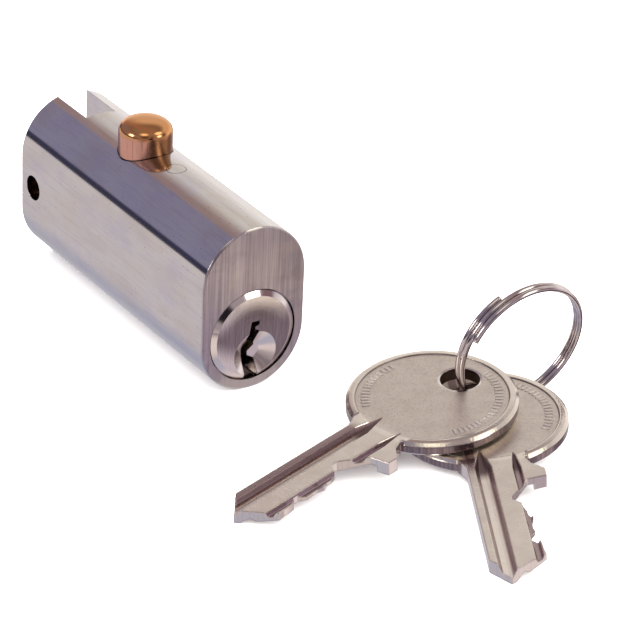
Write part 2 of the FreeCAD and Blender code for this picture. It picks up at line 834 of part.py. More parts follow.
def make_split_ring():
    wire = size("ring_wire")
    shape, path = coil(size("ring_radius"), size("ring_pitch"), size("ring_turns"), wire,
                       RING_WIRE_SIDES, straight_end=2 * wire)
    print("split_ring least gap", round(least_gap(path, wire), 3))
    x, y, z, heading, lean, spin = RING_POSE
    normal = Vector(math.cos(math.radians(heading)) * math.cos(math.radians(lean)),
                    math.sin(math.radians(heading)) * math.cos(math.radians(lean)),
                    math.sin(math.radians(lean)))
    return shape_node("split_ring", shape,
                      Placement(Vector(x, y, z), Rotation(Vector(0, 0, 1), normal)
                                * Rotation(Vector(0, 0, 1), spin)))


# Build, check and write


def main():
    nodes = [make_housing(), make_plug(), make_keeper(), make_crank_pin(), make_caps(),
             make_bolt(), make_bolt_spring(), make_split_ring()]
    nodes += make_key_pins()
    nodes += make_drivers()
    nodes += make_stack_springs()
    nodes += [make_key(name) for name in KEY_POSES]
    document.recompute()

    for item in document.Objects:
        if "Invalid" in item.State or "Error" in item.State:
            raise RuntimeError(f"{item.Name}: {item.State}")
    for node in nodes:
        node.Label = node.Name
        if node.Shape.isNull() or not node.Shape.isValid():
            raise RuntimeError(node.Name + " has no sound shape")

    os.makedirs("parts", exist_ok=True)
    for node in nodes:
        node.Shape.exportStep(f"parts/{node.Label}.step")
        print(node.Label, len(node.Shape.Solids), round(node.Shape.Volume, 2))


main()
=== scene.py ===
"""Oval filing cabinet lock with its two keys on a split ring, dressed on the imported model.

X is across the lock's face, Y runs back from the face and Z is up. The origin is on the
plug's axis in the plane of the face. Meshes are in metres and finishes in millimetres.
"""

import logging
import math
from dataclasses import dataclass, field
from enum import Enum
from typing import Any

import bmesh
import bpy
from mathutils import Euler, Matrix, Vector

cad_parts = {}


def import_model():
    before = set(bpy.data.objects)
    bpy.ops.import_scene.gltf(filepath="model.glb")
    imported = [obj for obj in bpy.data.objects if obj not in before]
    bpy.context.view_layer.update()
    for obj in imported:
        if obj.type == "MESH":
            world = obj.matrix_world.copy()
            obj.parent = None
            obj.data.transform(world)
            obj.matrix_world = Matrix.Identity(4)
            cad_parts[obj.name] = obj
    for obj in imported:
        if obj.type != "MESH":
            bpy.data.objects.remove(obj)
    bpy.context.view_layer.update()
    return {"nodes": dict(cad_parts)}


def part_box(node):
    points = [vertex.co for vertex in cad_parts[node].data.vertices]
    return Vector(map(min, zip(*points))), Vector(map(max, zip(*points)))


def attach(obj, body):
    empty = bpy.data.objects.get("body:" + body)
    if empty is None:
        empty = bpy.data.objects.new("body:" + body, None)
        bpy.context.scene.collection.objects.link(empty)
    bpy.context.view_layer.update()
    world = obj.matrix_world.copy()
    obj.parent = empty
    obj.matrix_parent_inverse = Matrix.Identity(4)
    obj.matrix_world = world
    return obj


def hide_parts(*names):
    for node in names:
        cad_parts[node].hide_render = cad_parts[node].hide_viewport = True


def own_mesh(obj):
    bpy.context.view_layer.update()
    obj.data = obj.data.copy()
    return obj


LOG = logging.getLogger("cabinet_lock")
MM = 0.001
PIN_NUMBERS = range(1, 6)

Socket = bpy.types.NodeSocket
# The value at which a mask is nothing, and the value at which it is full
Fade = tuple[float, float]


def linear(hex_colour: str, strength: float = 1.0) -> tuple[float, float, float, float]:
    """Turn an sRGB hex colour into linear light.

    Args:
        hex_colour: Colour as "#RRGGBB".
        strength: How much stronger the light is than the colour.

    Returns:
        Linear red, green and blue with an alpha of one.
    """
    parts = [int(hex_colour[place:place + 2], 16) / 255 for place in (1, 3, 5)]
    red, green, blue = (strength * (part / 12.92 if part <= 0.04045
                                    else ((part + 0.055) / 1.055) ** 2.4) for part in parts)
    return red, green, blue, 1.0


def new_object(name: str, shape: bmesh.types.BMesh) -> bpy.types.Object:
    """Put a shape in the scene as an object at the origin.

    Args:
        name: Name of the object and of its mesh.
        shape: The shape in metres, in the frame of the lock. It is used up.

    Returns:
        The new object.
    """
    mesh = bpy.data.meshes.new(name)
    shape.to_mesh(mesh)
    shape.free()
    piece = bpy.data.objects.new(name, mesh)
    bpy.context.scene.collection.objects.link(piece)
    return piece


def wear(piece: bpy.types.Object, material: bpy.types.Material) -> None:
    """Put one material in every slot of a piece.

    Args:
        piece: The piece, which gets a slot if it has none.
        material: Its finish.
    """
    if not piece.material_slots:
        piece.data.materials.append(material)
    for material_slot in piece.material_slots:
        material_slot.material = material


@dataclass(frozen=True)
class KeyCopy:
    """What sets one of the two like keys apart: its name, how it lies and where a strip of its
    back land is painted in shade.
    """

    name: str
    # The middle of its bow in millimetres, and its angles in degrees
    place: tuple[float, float, float]
    heading: float
    slope: float
    roll: float
    # Where along the blade a strip of the back land is painted in shade
    land_shade: Fade

    def turn(self) -> Euler:
        """The key's turn, rolled first, then sloped and then headed."""
        return Euler([math.radians(angle) for angle in (self.roll, self.slope, self.heading)])


KEYS = (KeyCopy("key_1", (15.96, -23.5, -3.1), -167.6, 5.36, 0.3, land_shade=(12.0, 14.0)),
        KeyCopy("key_2", (21.25, -28.7, -5.29), -117.95, 1.9, 4.55, land_shade=(16.0, 12.5)))


# Shading


@dataclass(frozen=True)
class Grain:
    """An irregular pattern: its feature size along X, Y and Z, and the finer grain in it."""

    size: tuple[float, float, float]
    octaves: float = 2.0
    harshness: float = 0.6


@dataclass(frozen=True)
class Tint:
    """A colour that shows more as a pattern or a place goes through a fade."""

    colour: str
    fade: Fade
    share: float = 1.0

    def where(self, s: "Surface", value: Socket) -> Socket:
        """Where the tint shows."""
        return s.fade(value, self.fade)


@dataclass(frozen=True)
class Line:
    """A coloured line between two limits in millimetres, with soft edges."""

    colour: str
    limits: tuple[float, float]
    edge: float
    share: float = 1.0

    def where(self, s: "Surface", value: Socket) -> Socket:
        """Where the line shows."""
        return s.band(value, self.limits, self.edge)


class Layer(Enum):
    """What is laid over what: a Mix node's data type, its two inputs for it and its output."""

    NUMBER = ("FLOAT", 2, 3, 0)
    NORMAL = ("VECTOR", 4, 5, 1)
    COLOUR = ("RGBA", 6, 7, 2)


@dataclass
class Shading:
    """The node tree of a material or of the world, with one way to add a node."""

    tree: bpy.types.NodeTree

    def add(self, kind: str, inputs: dict[str | int, Any] | tuple[Any, ...] = (),
            out: str | int = 0, **settings: Any) -> Socket | None:
        """Add a node, set its options and fill or link its inputs.

        Args:
            kind: Node type without its "ShaderNode" prefix.
            inputs: Values and other nodes' outputs, by name or in the order of the inputs.
            out: Name or index of the output to hand back.
            settings: Options of the node.

        Returns:
            The chosen output, or None from a node that has none.
        """
        node = self.tree.nodes.new("ShaderNode" + kind)
        for name, value in settings.items():
            setattr(node, name, value)
        named = inputs if isinstance(inputs, dict) else dict(enumerate(inputs))
        for name, value in named.items():
            if isinstance(value, Socket):
                self.tree.links.new(value, node.inputs[name])
            else:
                node.inputs[name].default_value = value
        return node.outputs[out] if len(node.outputs) else None

    def lay(self, under: Any, over: Any, where: Any, layer: Layer = Layer.COLOUR) -> Socket:
        """Lay one value over another where a mask holds.

        Args:
            under: Value where the mask is nothing.
            over: Value where the mask is full.
            where: The mask.
            layer: What the values are.

        Returns:
            The laid value.
        """
        data_type, first, second, out = layer.value
        return self.add("Mix", {0: where, first: under, second: over}, out,
                        data_type=data_type)

    def total(self, base: Any, *shares: tuple[Any, float]) -> Socket:
        """Add shares of some values to a base.

        Args:
            base: What the shares are added to.
            shares: Each value with its share.

        Returns:
            The sum.
        """
        for value, share in shares:
            base = self.add("Math", (value, share, base), operation="MULTIPLY_ADD")
        return base

    def fade(self, value: Any, limits: Fade) -> Socket:
        """A mask that rises smoothly between a fade's two values."""
        return self.add("MapRange", (value, *limits), interpolation_type="SMOOTHSTEP")

    def all_of(self, *masks: Any) -> Socket:
        """Where all of some masks hold.

        Args:
            masks: The masks, and numbers that weaken them.

        Returns:
            The common mask.
        """
        held = masks[0]
        for mask in masks[1:]:
            held = self.add("Math", (held, mask), operation="MULTIPLY")
        return held


class Surface(Shading):
    """The node tree of a material, measured in real millimetres on the object itself."""

    BEVEL_SAMPLES = 8

    def __init__(self, name: str) -> None:
        """Start an empty material.

        Args:
            name: Name of the material.
        """
        self.material = bpy.data.materials.new(name)
        self.material.use_nodes = True
        super().__init__(self.material.node_tree)
        self.tree.nodes.clear()
        metres = self.add("TexCoord", out="Object")
        self.place = self.add("VectorMath", (metres, (1 / MM, 1 / MM, 1 / MM)),
                              operation="MULTIPLY")
        self.facing = self.add("TexCoord", out="Normal")

    def close(self, inputs: dict[str, Any]) -> bpy.types.Material:
        """Finish the material with a Principled shader.

        Args:
            inputs: The shader's inputs by name.

        Returns:
            The finished material.
        """
        self.add("OutputMaterial", {"Surface": self.add("BsdfPrincipled", inputs)})
        return self.material

    def close_metal(self, colour: Socket, roughness: Socket, normal: Socket
                    ) -> bpy.types.Material:
        """Finish the material as a bare metal."""
        return self.close({"Base Color": colour, "Metallic": 1.0, "Roughness": roughness,
                           "Normal": normal})

    def scatter(self, grain: Grain, place: Socket | None = None) -> Socket:
        """Spread an irregular pattern over the surface.

        Args:
            grain: The pattern.
            place: Coordinates that it follows; the object's own if left out.

        Returns:
            The pattern between zero and one.
        """
        scale = tuple(1 / size for size in grain.size)
        scaled = self.add("VectorMath", (place or self.place, scale), operation="MULTIPLY")
        return self.add("TexNoise", {"Vector": scaled, "Scale": 1.0, "Detail": grain.octaves,
                                     "Roughness": grain.harshness})

    def rounded(self, radius: float) -> Socket:
        """A normal that rounds every sharp edge by a radius."""
        return self.add("Bevel", {"Radius": radius * MM}, samples=self.BEVEL_SAMPLES)

    def raised(self, height: Any, depth: float, normal: Socket | None = None) -> Socket:
        """Raise a pattern or a mask into relief.

        Args:
            height: The pattern, between zero and one.
            depth: Depth of the relief.
            normal: Normal that it is added to; the mesh's own if left out.

        Returns:
            The normal with the relief.
        """
        inputs = {"Height": height, "Distance": depth * MM, "Strength": 1.0}
        if normal is not None:
            inputs["Normal"] = normal
        return self.add("Bump", inputs)

    def tinted(self, colour: Any, tint: Tint | Line, value: Socket, *masks: Socket) -> Socket:
        """Lay a tint or a line over a colour.

        Args:
            colour: The colour so far.
            tint: The tint or line.
            value: Pattern or place that it goes by.
            masks: Where it keeps to.

        Returns:
            The tinted colour.
        """
        where = self.all_of(tint.where(self, value), *masks, tint.share)
        return self.lay(colour, linear(tint.colour), where)

    def band(self, value: Socket, limits: tuple[float, float], edge: float) -> Socket:
        """Where a value lies between two limits, with soft edges.

        Args:
            value: The value.
            limits: The lower and the upper limit.
            edge: Half the width of an edge.

        Returns:
            The mask.
        """
        low, high = limits
        return self.all_of(self.fade(value, (low - edge, low + edge)),
                           self.fade(value, (high + edge, high - edge)))

    def outside(self, mask: Socket) -> Socket:
        """Where a mask doesn't hold."""
        return self.total(1.0, (mask, -1.0))

    def either(self, first: Socket, second: Socket) -> Socket:
        """Where one or the other of two masks holds."""
        return self.add("Math", (first, second), operation="MAXIMUM")

    def distance(self, first: Socket, second: Socket,
                 middle: tuple[float, float] = (0.0, 0.0)) -> Socket:
        """How far two coordinates are from a middle.

        Args:
            first: One coordinate.
            second: The other.
            middle: The middle's two coordinates.

        Returns:
            The distance.
        """
        squares = tuple(self.add("Math", (self.total(-centre, (value, 1.0)), 2.0),
                                 operation="POWER")
                        for value, centre in zip((first, second), middle))
        return self.add("Math", (self.add("Math", squares, operation="ADD"),),
                        operation="SQRT")


# Finishes


@dataclass(frozen=True)
class NickelPlatedBar:
    """Zinc bar drawn through an oval die, nickel plated, with a face that was ground upright."""

    # Bright nickel is a pale grey that leans to yellow and mirrors the room softly.
    colour: str = "#D9D6D4"
    roughness: float = 0.075
    # Handling has clouded it and dulled the clouds.
    cloud: Grain = Grain((4.0, 12.0, 4.0), 4.0)
    cloud_dulling: float = 0.05
    stain: Tint = Tint("#C3BBBC", (0.4, 0.75), 0.5)
    # Old grease tints it in places, warm and cool.
    grease: Grain = Grain((5.0, 7.0, 5.0), 3.0)
    warm: Tint = Tint("#D6CEC0", (0.5, 0.7), 0.5)
    cool: Tint = Tint("#CCC8D6", (0.48, 0.32), 0.5)
    # Fine rubbed marks run along the bar, drawn a pixel wide because the real ones are finer.
    drawn: Grain = Grain((0.3, 7.0, 0.3), 3.0)
    drawn_depth: float = 0.0006
    rubbed: Tint = Tint("#C3BBBC", (0.45, 0.72), 0.4)
    # The plating has small pits, drawn as coarse as one pixel.
    pit_spacing: float = 1.3
    pit: Tint = Tint("#6E6468", (0.11, 0.05), 0.45)
    # Grinding leaves upright bright and dark streaks on the face. The real lines are finer
    # than a pixel, so they are drawn one to two pixels wide, and gathered in broad ones.
    face: Fade = (0.2, 0.05)
    face_roughness: float = 0.3
    ground: Grain = Grain((0.24, 1.0, 16.0), 3.0)
    ground_depth: float = 0.006
    ground_share: float = 0.65
    gathered: Grain = Grain((1.1, 1.0, 30.0), 1.0)
    dark_streak: str = "#A69CA3"
    bright_streak: Tint = Tint("#CAC0C7", (0.36, 0.64))
    # The face is painted paler towards its foot, and hands have stained the rest in clouds.
    foot: Tint = Tint("#DAD4CA", (-3.5, -7.5), 0.8)
    pale_cloud: Tint = Tint("#E0D6C4", (0.5, 0.68), 0.22)
    dark_cloud: Tint = Tint("#7C6C74", (0.48, 0.34), 0.22)
    # The keeper pin's end is ground off with the bar, and a dark seam is left round it.
    ridge: Fade = (9.0, 10.0)
    keeper: tuple[float, float] = (0.0, 22.1)
    keeper_seam: Line = Line("#3A3030", (1.43, 1.57), 0.05, 0.75)
    bolt: tuple[float, float] = (0.0, 31.0)
    bolt_seam: Line = Line("#3A3030", (4.17, 4.27), 0.05, 0.75)
    # The gap in the bolt's bore is painted near black at its left front, a painted shade.
    painted_shading: Line = Line("#120E0E", (4.02, 4.38), 0.06)
    gap_shade_towards: tuple[float, float] = (-0.75, -0.66)
    gap_shade_part: Fade = (2.6, 3.6)
    # The cross hole is painted darker inside, a painted shade.
    hole: tuple[float, float] = (49.5, 4.45)
    hole_edge: Fade = (2.2, 2.1)
    hole_shade: Tint = Tint("#8C7C72", (8.9, 8.6))
    # Sawing and grinding leave the edges of both ends slightly round.
    edge: float = 0.12
    front_edge: Fade = (1.2, 0.9)
    back_edge: Fade = (45.5, 46.0)

    def build(self) -> bpy.types.Material:
        """Make the material.

        Returns:
            The material.
        """
        s = Surface("nickel_plated_bar")
        across, depth, height = s.add("SeparateXYZ", (s.place,)).node.outputs
        face = s.fade(depth, self.face)
        cloud = s.scatter(self.cloud)
        grease = s.scatter(self.grease)
        drawn = s.scatter(self.drawn)
        ground = s.scatter(self.ground)
        colour = s.tinted(linear(self.colour), self.stain, cloud)
        colour = s.tinted(colour, self.warm, grease)
        colour = s.tinted(colour, self.cool, grease)
        colour = s.tinted(colour, self.rubbed, drawn, s.outside(face))
        pits = s.add("TexVoronoi", {"Vector": s.place, "Scale": 1 / self.pit_spacing},
                     feature="F1")
        colour = s.tinted(colour, self.pit, pits)
        colour = s.lay(colour, self.ground_face(s, ground, grease, height), face)
        colour = self.seamed(s, colour, across, depth, height)
        # Painted shade inside the cross hole.
        in_hole = s.fade(s.distance(depth, height, self.hole), self.hole_edge)
        sideways = s.add("Math", (across,), operation="ABSOLUTE")
        colour = s.tinted(colour, self.hole_shade, sideways, in_hole)
        ends = s.either(s.fade(depth, self.front_edge), s.fade(depth, self.back_edge))
        normal = s.lay(s.add("NewGeometry", out="Normal"), s.rounded(self.edge), ends,
                       Layer.NORMAL)
        normal = s.raised(s.all_of(ground, face), self.ground_depth, normal)
        normal = s.raised(s.all_of(drawn, s.outside(face)), self.drawn_depth, normal)
        roughness = s.lay(self.roughness, self.face_roughness, face, Layer.NUMBER)
        return s.close_metal(colour, s.total(roughness, (cloud, self.cloud_dulling)), normal)

    def ground_face(self, s: Surface, ground: Socket, grease: Socket, height: Socket) -> Socket:
        """Colour the ground face.

        Args:
            s: Surface that is being built.
            ground: The fine ground lines.
            grease: The greasy clouds.
            height: Height above the plug's axis.

        Returns:
            The face's colour.
        """
        streaks = s.total(0.0, (ground, self.ground_share),
                          (s.scatter(self.gathered), 1 - self.ground_share))
        colour = s.tinted(linear(self.dark_streak), self.bright_streak, streaks)
        colour = s.tinted(colour, self.foot, height)
        colour = s.tinted(colour, self.pale_cloud, grease)
        return s.tinted(colour, self.dark_cloud, grease)

    def seamed(self, s: Surface, colour: Socket, across: Socket, depth: Socket, height: Socket
               ) -> Socket:
        """Draw the seams round what stands in the ridge, and the painted shade in the bolt's bore.

        Args:
            s: Surface that is being built.
            colour: The bar's colour.
            across: Place across the bar.
            depth: Place along the bar.
            height: Height above the plug's axis.

        Returns:
            The colour with the seams.
        """
        ridge = s.fade(height, self.ridge)
        round_keeper = s.distance(across, depth, self.keeper)
        round_bolt = s.distance(across, depth, self.bolt)
        colour = s.tinted(colour, self.keeper_seam, round_keeper, ridge)
        colour = s.tinted(colour, self.bolt_seam, round_bolt, ridge)
        # Painted shade in the gap round the bolt, at its left front.
        right, back = self.gap_shade_towards
        lean = s.total(-back * self.bolt[1], (across, right), (depth, back))
        return s.tinted(colour, self.painted_shading, round_bolt, ridge, s.fade(lean, self.gap_shade_part))


@dataclass(frozen=True)
class TurnedNickelPlug:
    """Brass plug turned on a lathe and nickel plated, with a polished bevel and a drilled dish."""

    # Turning leaves rings that fan the light, and the burnished bevel mirrors like a chrome rim.
    colour: str = "#8A7C80"
    # Pale colour of the painted sheen on the face
    painted_shading: str = "#FFF8F2"
    burnished: str = "#F0E8E6"
    roughness: float = 0.22
    bevel_roughness: float = 0.08
    dish_roughness: float = 0.2
    cloud: Grain = Grain((2.5, 2.5, 2.5), 3.0)
    cloud_dulling: float = 0.04
    edge: float = 0.08
    bevel: Fade = (6.31, 6.37)
    dish: tuple[float, float] = (0.42, -3.2)
    dish_edge: Fade = (3.75, 3.65)
    dish_depth: Fade = (-0.24, -0.15)
    # Turned rings and drilled spokes, drawn as coarse as one pixel. A spoke's width is in
    # radians.
    ring: Grain = Grain((0.16, 1.0, 1.0), 2.0, 0.5)
    spoke: Grain = Grain((1 / 12, 1.0, 1.0), 2.0, 0.5)
    # Key scratches run up and down the face.
    scratch: Grain = Grain((0.2, 1.0, 5.0), 3.0)
    scratch_share: float = 0.5
    mark_depth: float = 0.004
    bright_mark: Fade = (0.35, 0.7)
    mark_share: float = 0.22
    # The lower left of the face and its upper edge are painted paler, a painted sheen.
    lower_sheen_towards: tuple[float, float] = (-0.45, -0.9)
    rubbed: Fade = (2.0, 5.6)
    upper_sheen_radius: Fade = (3.4, 6.2)
    upper_sheen_height: Fade = (0.5, 4.5)
    sheen_share: float = 0.85

    def build(self) -> bpy.types.Material:
        """Make the material.

        Returns:
            The material.
        """
        s = Surface("turned_nickel_plug")
        across, depth, height = s.add("SeparateXYZ", (s.place,)).node.outputs
        radius = s.distance(across, height)
        dish = s.all_of(s.fade(depth, self.dish_depth),
                        s.fade(s.distance(across, height, self.dish), self.dish_edge))
        bevel = s.fade(radius, self.bevel)
        marks = self.marks(s, across, height, radius, dish)
        # Painted sheen at the lower left of the face and along its upper edge.
        rubbed = s.fade(s.total(0.0, *zip((across, height), self.lower_sheen_towards)), self.rubbed)
        upper_sheen = s.all_of(s.fade(radius, self.upper_sheen_radius),
                           s.fade(height, self.upper_sheen_height))
        shade = s.total(0.0, (s.either(rubbed, upper_sheen), self.sheen_share),
                        (s.fade(marks, self.bright_mark), self.mark_share))
        colour = s.lay(linear(self.colour), linear(self.painted_shading), shade)
        colour = s.lay(colour, linear(self.burnished), s.either(dish, bevel))
        roughness = s.lay(self.roughness, self.bevel_roughness, bevel, Layer.NUMBER)
        roughness = s.lay(roughness, self.dish_roughness, dish, Layer.NUMBER)
        cloud = s.scatter(self.cloud)
        normal = s.raised(s.all_of(marks, s.outside(bevel)), self.mark_depth,
                          s.rounded(self.edge))
        return s.close_metal(colour, s.total(roughness, (cloud, self.cloud_dulling)), normal)

    def marks(self, s: Surface, across: Socket, height: Socket, radius: Socket, dish: Socket
              ) -> Socket:
        """Cut the tool marks and key scratches.

        Args:
            s: Surface that is being built.
            across: Place across the face.
            height: Height above the plug's axis.
            radius: Distance from the plug's axis.
            dish: Mask of the drilled dish.

        Returns:
            Rings and scratches on the face, and spokes in the dish.
        """
        rings = s.scatter(self.ring, s.add("CombineXYZ", (radius,)))
        right, up = self.dish
        angle = s.add("Math", (s.total(-up, (height, 1.0)), s.total(-right, (across, 1.0))),
                      operation="ARCTAN2")
        spokes = s.scatter(self.spoke, s.add("CombineXYZ", (angle,)))
        turned = s.total(0.0, (s.scatter(self.scratch), self.scratch_share),
                         (rings, 1 - self.scratch_share))
        return s.lay(turned, spokes, dish, Layer.NUMBER)


@dataclass(frozen=True)
class PolishedGildingBrass:
    """Gilding brass rod, turned and polished by its own sliding."""

    # Much copper makes it a red gold, and it mirrors lamps as hard bright spots.
    colour: str = "#E0A26C"
    roughness: float = 0.12
    cloud: Grain = Grain((1.6, 1.6, 2.2), 3.0)
    cloud_dulling: float = 0.05
    turned: Grain = Grain((30.0, 30.0, 0.12))
    turned_depth: float = 0.001
    edge: float = 0.1
    # The wall is painted a darker brass than the dome, a painted shade, and handling has dulled
    # it.
    wall: Fade = (20.6, 19.8)
    wall_shade: str = "#B98456"
    wall_dulling: float = 0.12
    # Rubbing runs up and down the wall, and it is flushed pink in clouds; the pink at its left is
    # a painted reflection.
    rubbing: Grain = Grain((0.35, 0.35, 6.0), 3.0)
    scratch: Tint = Tint("#7A4A30", (0.5, 0.7), 0.4)
    pink_flush_and_reflection: str = "#E2AC9A"
    left: Fade = (1.0, -2.5)
    left_reflection: float = 0.55
    cloud_flush: float = 0.3
    rubbed_flush: float = 0.3
    # Toward its right the wall is painted browner, a painted dark reflection.
    place: float = 31.0
    dark_reflection_towards: tuple[float, float] = (0.82, -0.57)
    dark_reflection: Tint = Tint("#865A30", (0.3, 1.6), 0.75)

    def build(self) -> bpy.types.Material:
        """Make the material.

        Returns:
            The material.
        """
        s = Surface("polished_gilding_brass")
        across, depth, height = s.add("SeparateXYZ", (s.place,)).node.outputs
        cloud = s.scatter(self.cloud)
        rubbing = s.scatter(self.rubbing)
        wall = s.fade(height, self.wall)
        # Pink in clouds and rubbing, and a painted pink reflection at the left of the wall.
        pink_flush_and_reflection = s.total(0.0, (s.fade(across, self.left), self.left_reflection),
                        (cloud, self.cloud_flush), (rubbing, self.rubbed_flush))
        # The wall is painted darker than the dome, a painted shade.
        colour = s.lay(linear(self.colour), linear(self.wall_shade), wall)
        colour = s.lay(colour, linear(self.pink_flush_and_reflection), s.all_of(wall, pink_flush_and_reflection))
        colour = s.tinted(colour, self.scratch, rubbing, wall)
        # Painted dark reflection toward the right of the wall.
        right, back = self.dark_reflection_towards
        lean = s.total(-back * self.place, (across, right), (depth, back))
        colour = s.tinted(colour, self.dark_reflection, lean, wall)
        roughness = s.total(self.roughness, (wall, self.wall_dulling),
                            (cloud, self.cloud_dulling))
        normal = s.raised(s.scatter(self.turned), self.turned_depth, s.rounded(self.edge))
        return s.close_metal(colour, roughness, normal)


@dataclass(frozen=True)
class KeyZones:
    """A key's own coordinates in millimetres, its patterns and the masks of its parts."""

    side: Socket
    up: Socket
    radius: Socket
    # Distance from the middle of the hole
    eye: Socket
    # Irregular patterns
    cloud: Socket
    peel: Socket
    milled: Socket
    drawn: Socket
    nicked: Socket
    # Masks
    blade: Socket
    bow: Socket
    flat: Socket
    rimmed: Socket
    struck: Socket
    wall: Socket
    grooved: Socket
    sloped: Socket
    stepped: Socket
    neck_groove_shade: Socket
    land_shade: Socket
    eyelet_highlight: Socket


@dataclass(frozen=True)
class StruckNickelSilver:
    """Nickel silver key blank: struck in a press, tumbled, then milled and cut."""

    key: KeyCopy
    # Nickel silver is a warm pale grey; the struck field is matt and the milled parts are bright.
    colour: str = "#EEE6DC"
    roughness: float = 0.15
    cloud: Grain = Grain((3.0, 3.0, 3.0), 3.0)
    cloud_dulling: float = 0.05
    tarnish: Tint = Tint("#DCD2C8", (0.3, 0.8), 0.6)
    edge: float = 0.3
    # How far a face looks up: the land wholly, a groove's slope partly and a wall not at all
    land: Fade = (0.9, 0.97)
    slope: Fade = (0.95, 0.85)
    rising: Fade = (0.15, 0.3)
    upright: Fade = (0.3, 0.1)
    # The struck field ends in a rim, and fades out along the blade.
    struck_field: Fade = (11.26, 11.14)
    field_end: Fade = (12.0, 9.0)
    field_roughness: float = 0.36
    rim: Fade = (11.12, 11.32)
    # The dark line inside the rim is a painted shadow of the rim's step.
    rim_step_shadow: Line = Line("#6E5E5C", (11.1, 11.26), 0.06, 0.55)
    # The press draws the rim into a round bead.
    bead: Fade = (12.2, 11.4)
    bead_depth: float = 0.2
    bead_share: float = 0.5
    # Tumbling leaves a fine sandy peel, drawn as coarse as one pixel.
    peel: Grain = Grain((0.26, 0.26, 0.26), 3.0)
    peel_depth: float = 0.012
    sandy: Tint = Tint("#B3A79F", (0.45, 0.75), 0.5)
    # What stands out of the field is painted brighter, a painted glint.
    raised: Tint = Tint("#FBF7F1", (-0.09, -0.05))
    # Keys that hang together nick each other's rims.
    nicked: Grain = Grain((0.4, 0.4, 9.0))
    nick_depth: float = 0.02
    # The bow's flanks are painted a dark purple brown, a painted shade, with paler nicks.
    shaded_flank: str = "#5E4C56"
    nicked_flank: Tint = Tint("#8C7880", (0.4, 0.65))
    shaded_flank_share: float = 0.85
    # The press leaves a small round at the hole. Its top is a painted highlight and its inside a
    # painted shade.
    hole: tuple[float, float] = (-6.0, 0.0)
    hole_round: Fade = (3.0, 3.4)
    hole_depth: float = 0.12
    hole_wall_shade: Tint = Tint("#5C4C40", (3.15, 3.05))
    eyelet_highlight: str = "#F2ECE8"
    eyelet_edge: Fade = (3.3, 3.15)
    eyelet_rise: Fade = (0.5, 0.8)
    # The neck runs flat from the blade into the bow, without a rim.
    neck_start: Fade = (8.0, 8.6)
    neck_side: Fade = (5.2, 4.7)
    # The face mill leaves lines across the blade, and the groove cutter lines along it.
    blade: Fade = (11.6, 12.4)
    blade_roughness: float = 0.25
    milled: Grain = Grain((0.3, 9.0, 9.0))
    drawn: Grain = Grain((11.0, 0.2, 0.2))
    mill_depth: float = 0.004
    mill_line: Tint = Tint("#DCD2C8", (0.5, 0.7), 0.3)
    cut: str = "#E8E0DA"
    cut_nick: Tint = Tint("#9C8589", (0.5, 0.75), 0.16)
    # The grooves are painted lighter on the floor and darker on a leaf at the cut side and on the
    # long slope of the back one: painted light and shade
    groove: Fade = (-0.13, -0.19)
    groove_roughness: float = 0.2
    floor: Tint = Tint("#FFF8EE", (2.1, 2.0))
    cut_side_shade: Tint = Tint("#9C8589", (2.2, 2.4), 0.75)
    back_slope_shade: str = "#BCA6B4"
    back_wall_shade: Tint = Tint("#7C6668", (-1.7, -1.9))
    streak: Fade = (0.35, 0.7)
    streak_share: float = 0.5
    # The back wall carries a dark and a coppery line.
    dark_line: Line = Line("#3C2C2E", (-0.82, -0.70), 0.05, 0.6)
    copper_line: Line = Line("#B88868", (-1.02, -0.86), 0.04, 0.8)
    # The cutter's teeth leave the foot of the back groove's long slope stepped like a saw.
    tooth_pitch: float = 0.48
    tooth_slope: float = 2.0
    tooth_foot: float = -1.1
    tooth_edge: Fade = (0.04, -0.04)
    stepped_side: tuple[float, float] = (-1.6, -0.3)
    stepped_edge: float = 0.1
    # Painted shade, a mauve brown, in the grooves where they end at the bow, and on a strip of the
    # land beside the back groove.
    neck_groove_shade: Fade = (15.4, 12.8)
    neck_groove_roughness: float = 0.4
    neck_groove_shade_colour: str = "#7E686A"
    neck_groove_shade_share: float = 0.85
    land_shade_colour: str = "#9C8589"
    land_shade_share: float = 0.9
    land_shade_side: tuple[Fade, Fade] = ((-3.85, -3.65), (-2.4, -2.6))
    land_shade_rise: Fade = (0.3, 0.5)

    def build(self) -> bpy.types.Material:
        """Make the material in the key's own coordinates.

        Returns:
            The material.
        """
        s = Surface(f"struck_nickel_silver_{self.key.name}")
        upright = self.key.turn().to_matrix() @ Vector((0, 0, 1))
        zones = self.zones(s, upright)
        colour = self.grooved(s, zones, self.blanked(s, zones))
        # Painted glint on what stands out of the field.
        colour = s.tinted(colour, self.raised, zones.up, zones.struck)
        # Painted shadow of the rim's step.
        colour = s.tinted(colour, self.rim_step_shadow, zones.radius, zones.rimmed)
        # Painted highlight round the top of the hole.
        colour = s.lay(colour, linear(self.eyelet_highlight), zones.eyelet_highlight)
        roughness = self.roughness
        for where, other in ((s.all_of(zones.struck, s.outside(zones.eyelet_highlight)),
                              self.field_roughness),
                             (zones.flat, self.blade_roughness),
                             (zones.sloped, self.groove_roughness),
                             (zones.neck_groove_shade, self.neck_groove_roughness)):
            roughness = s.lay(roughness, other, where, Layer.NUMBER)
        roughness = s.total(roughness, (zones.cloud, self.cloud_dulling))
        normal = s.lay(self.relief(s, zones), upright, zones.stepped, Layer.NORMAL)
        return s.close_metal(colour, roughness, normal)

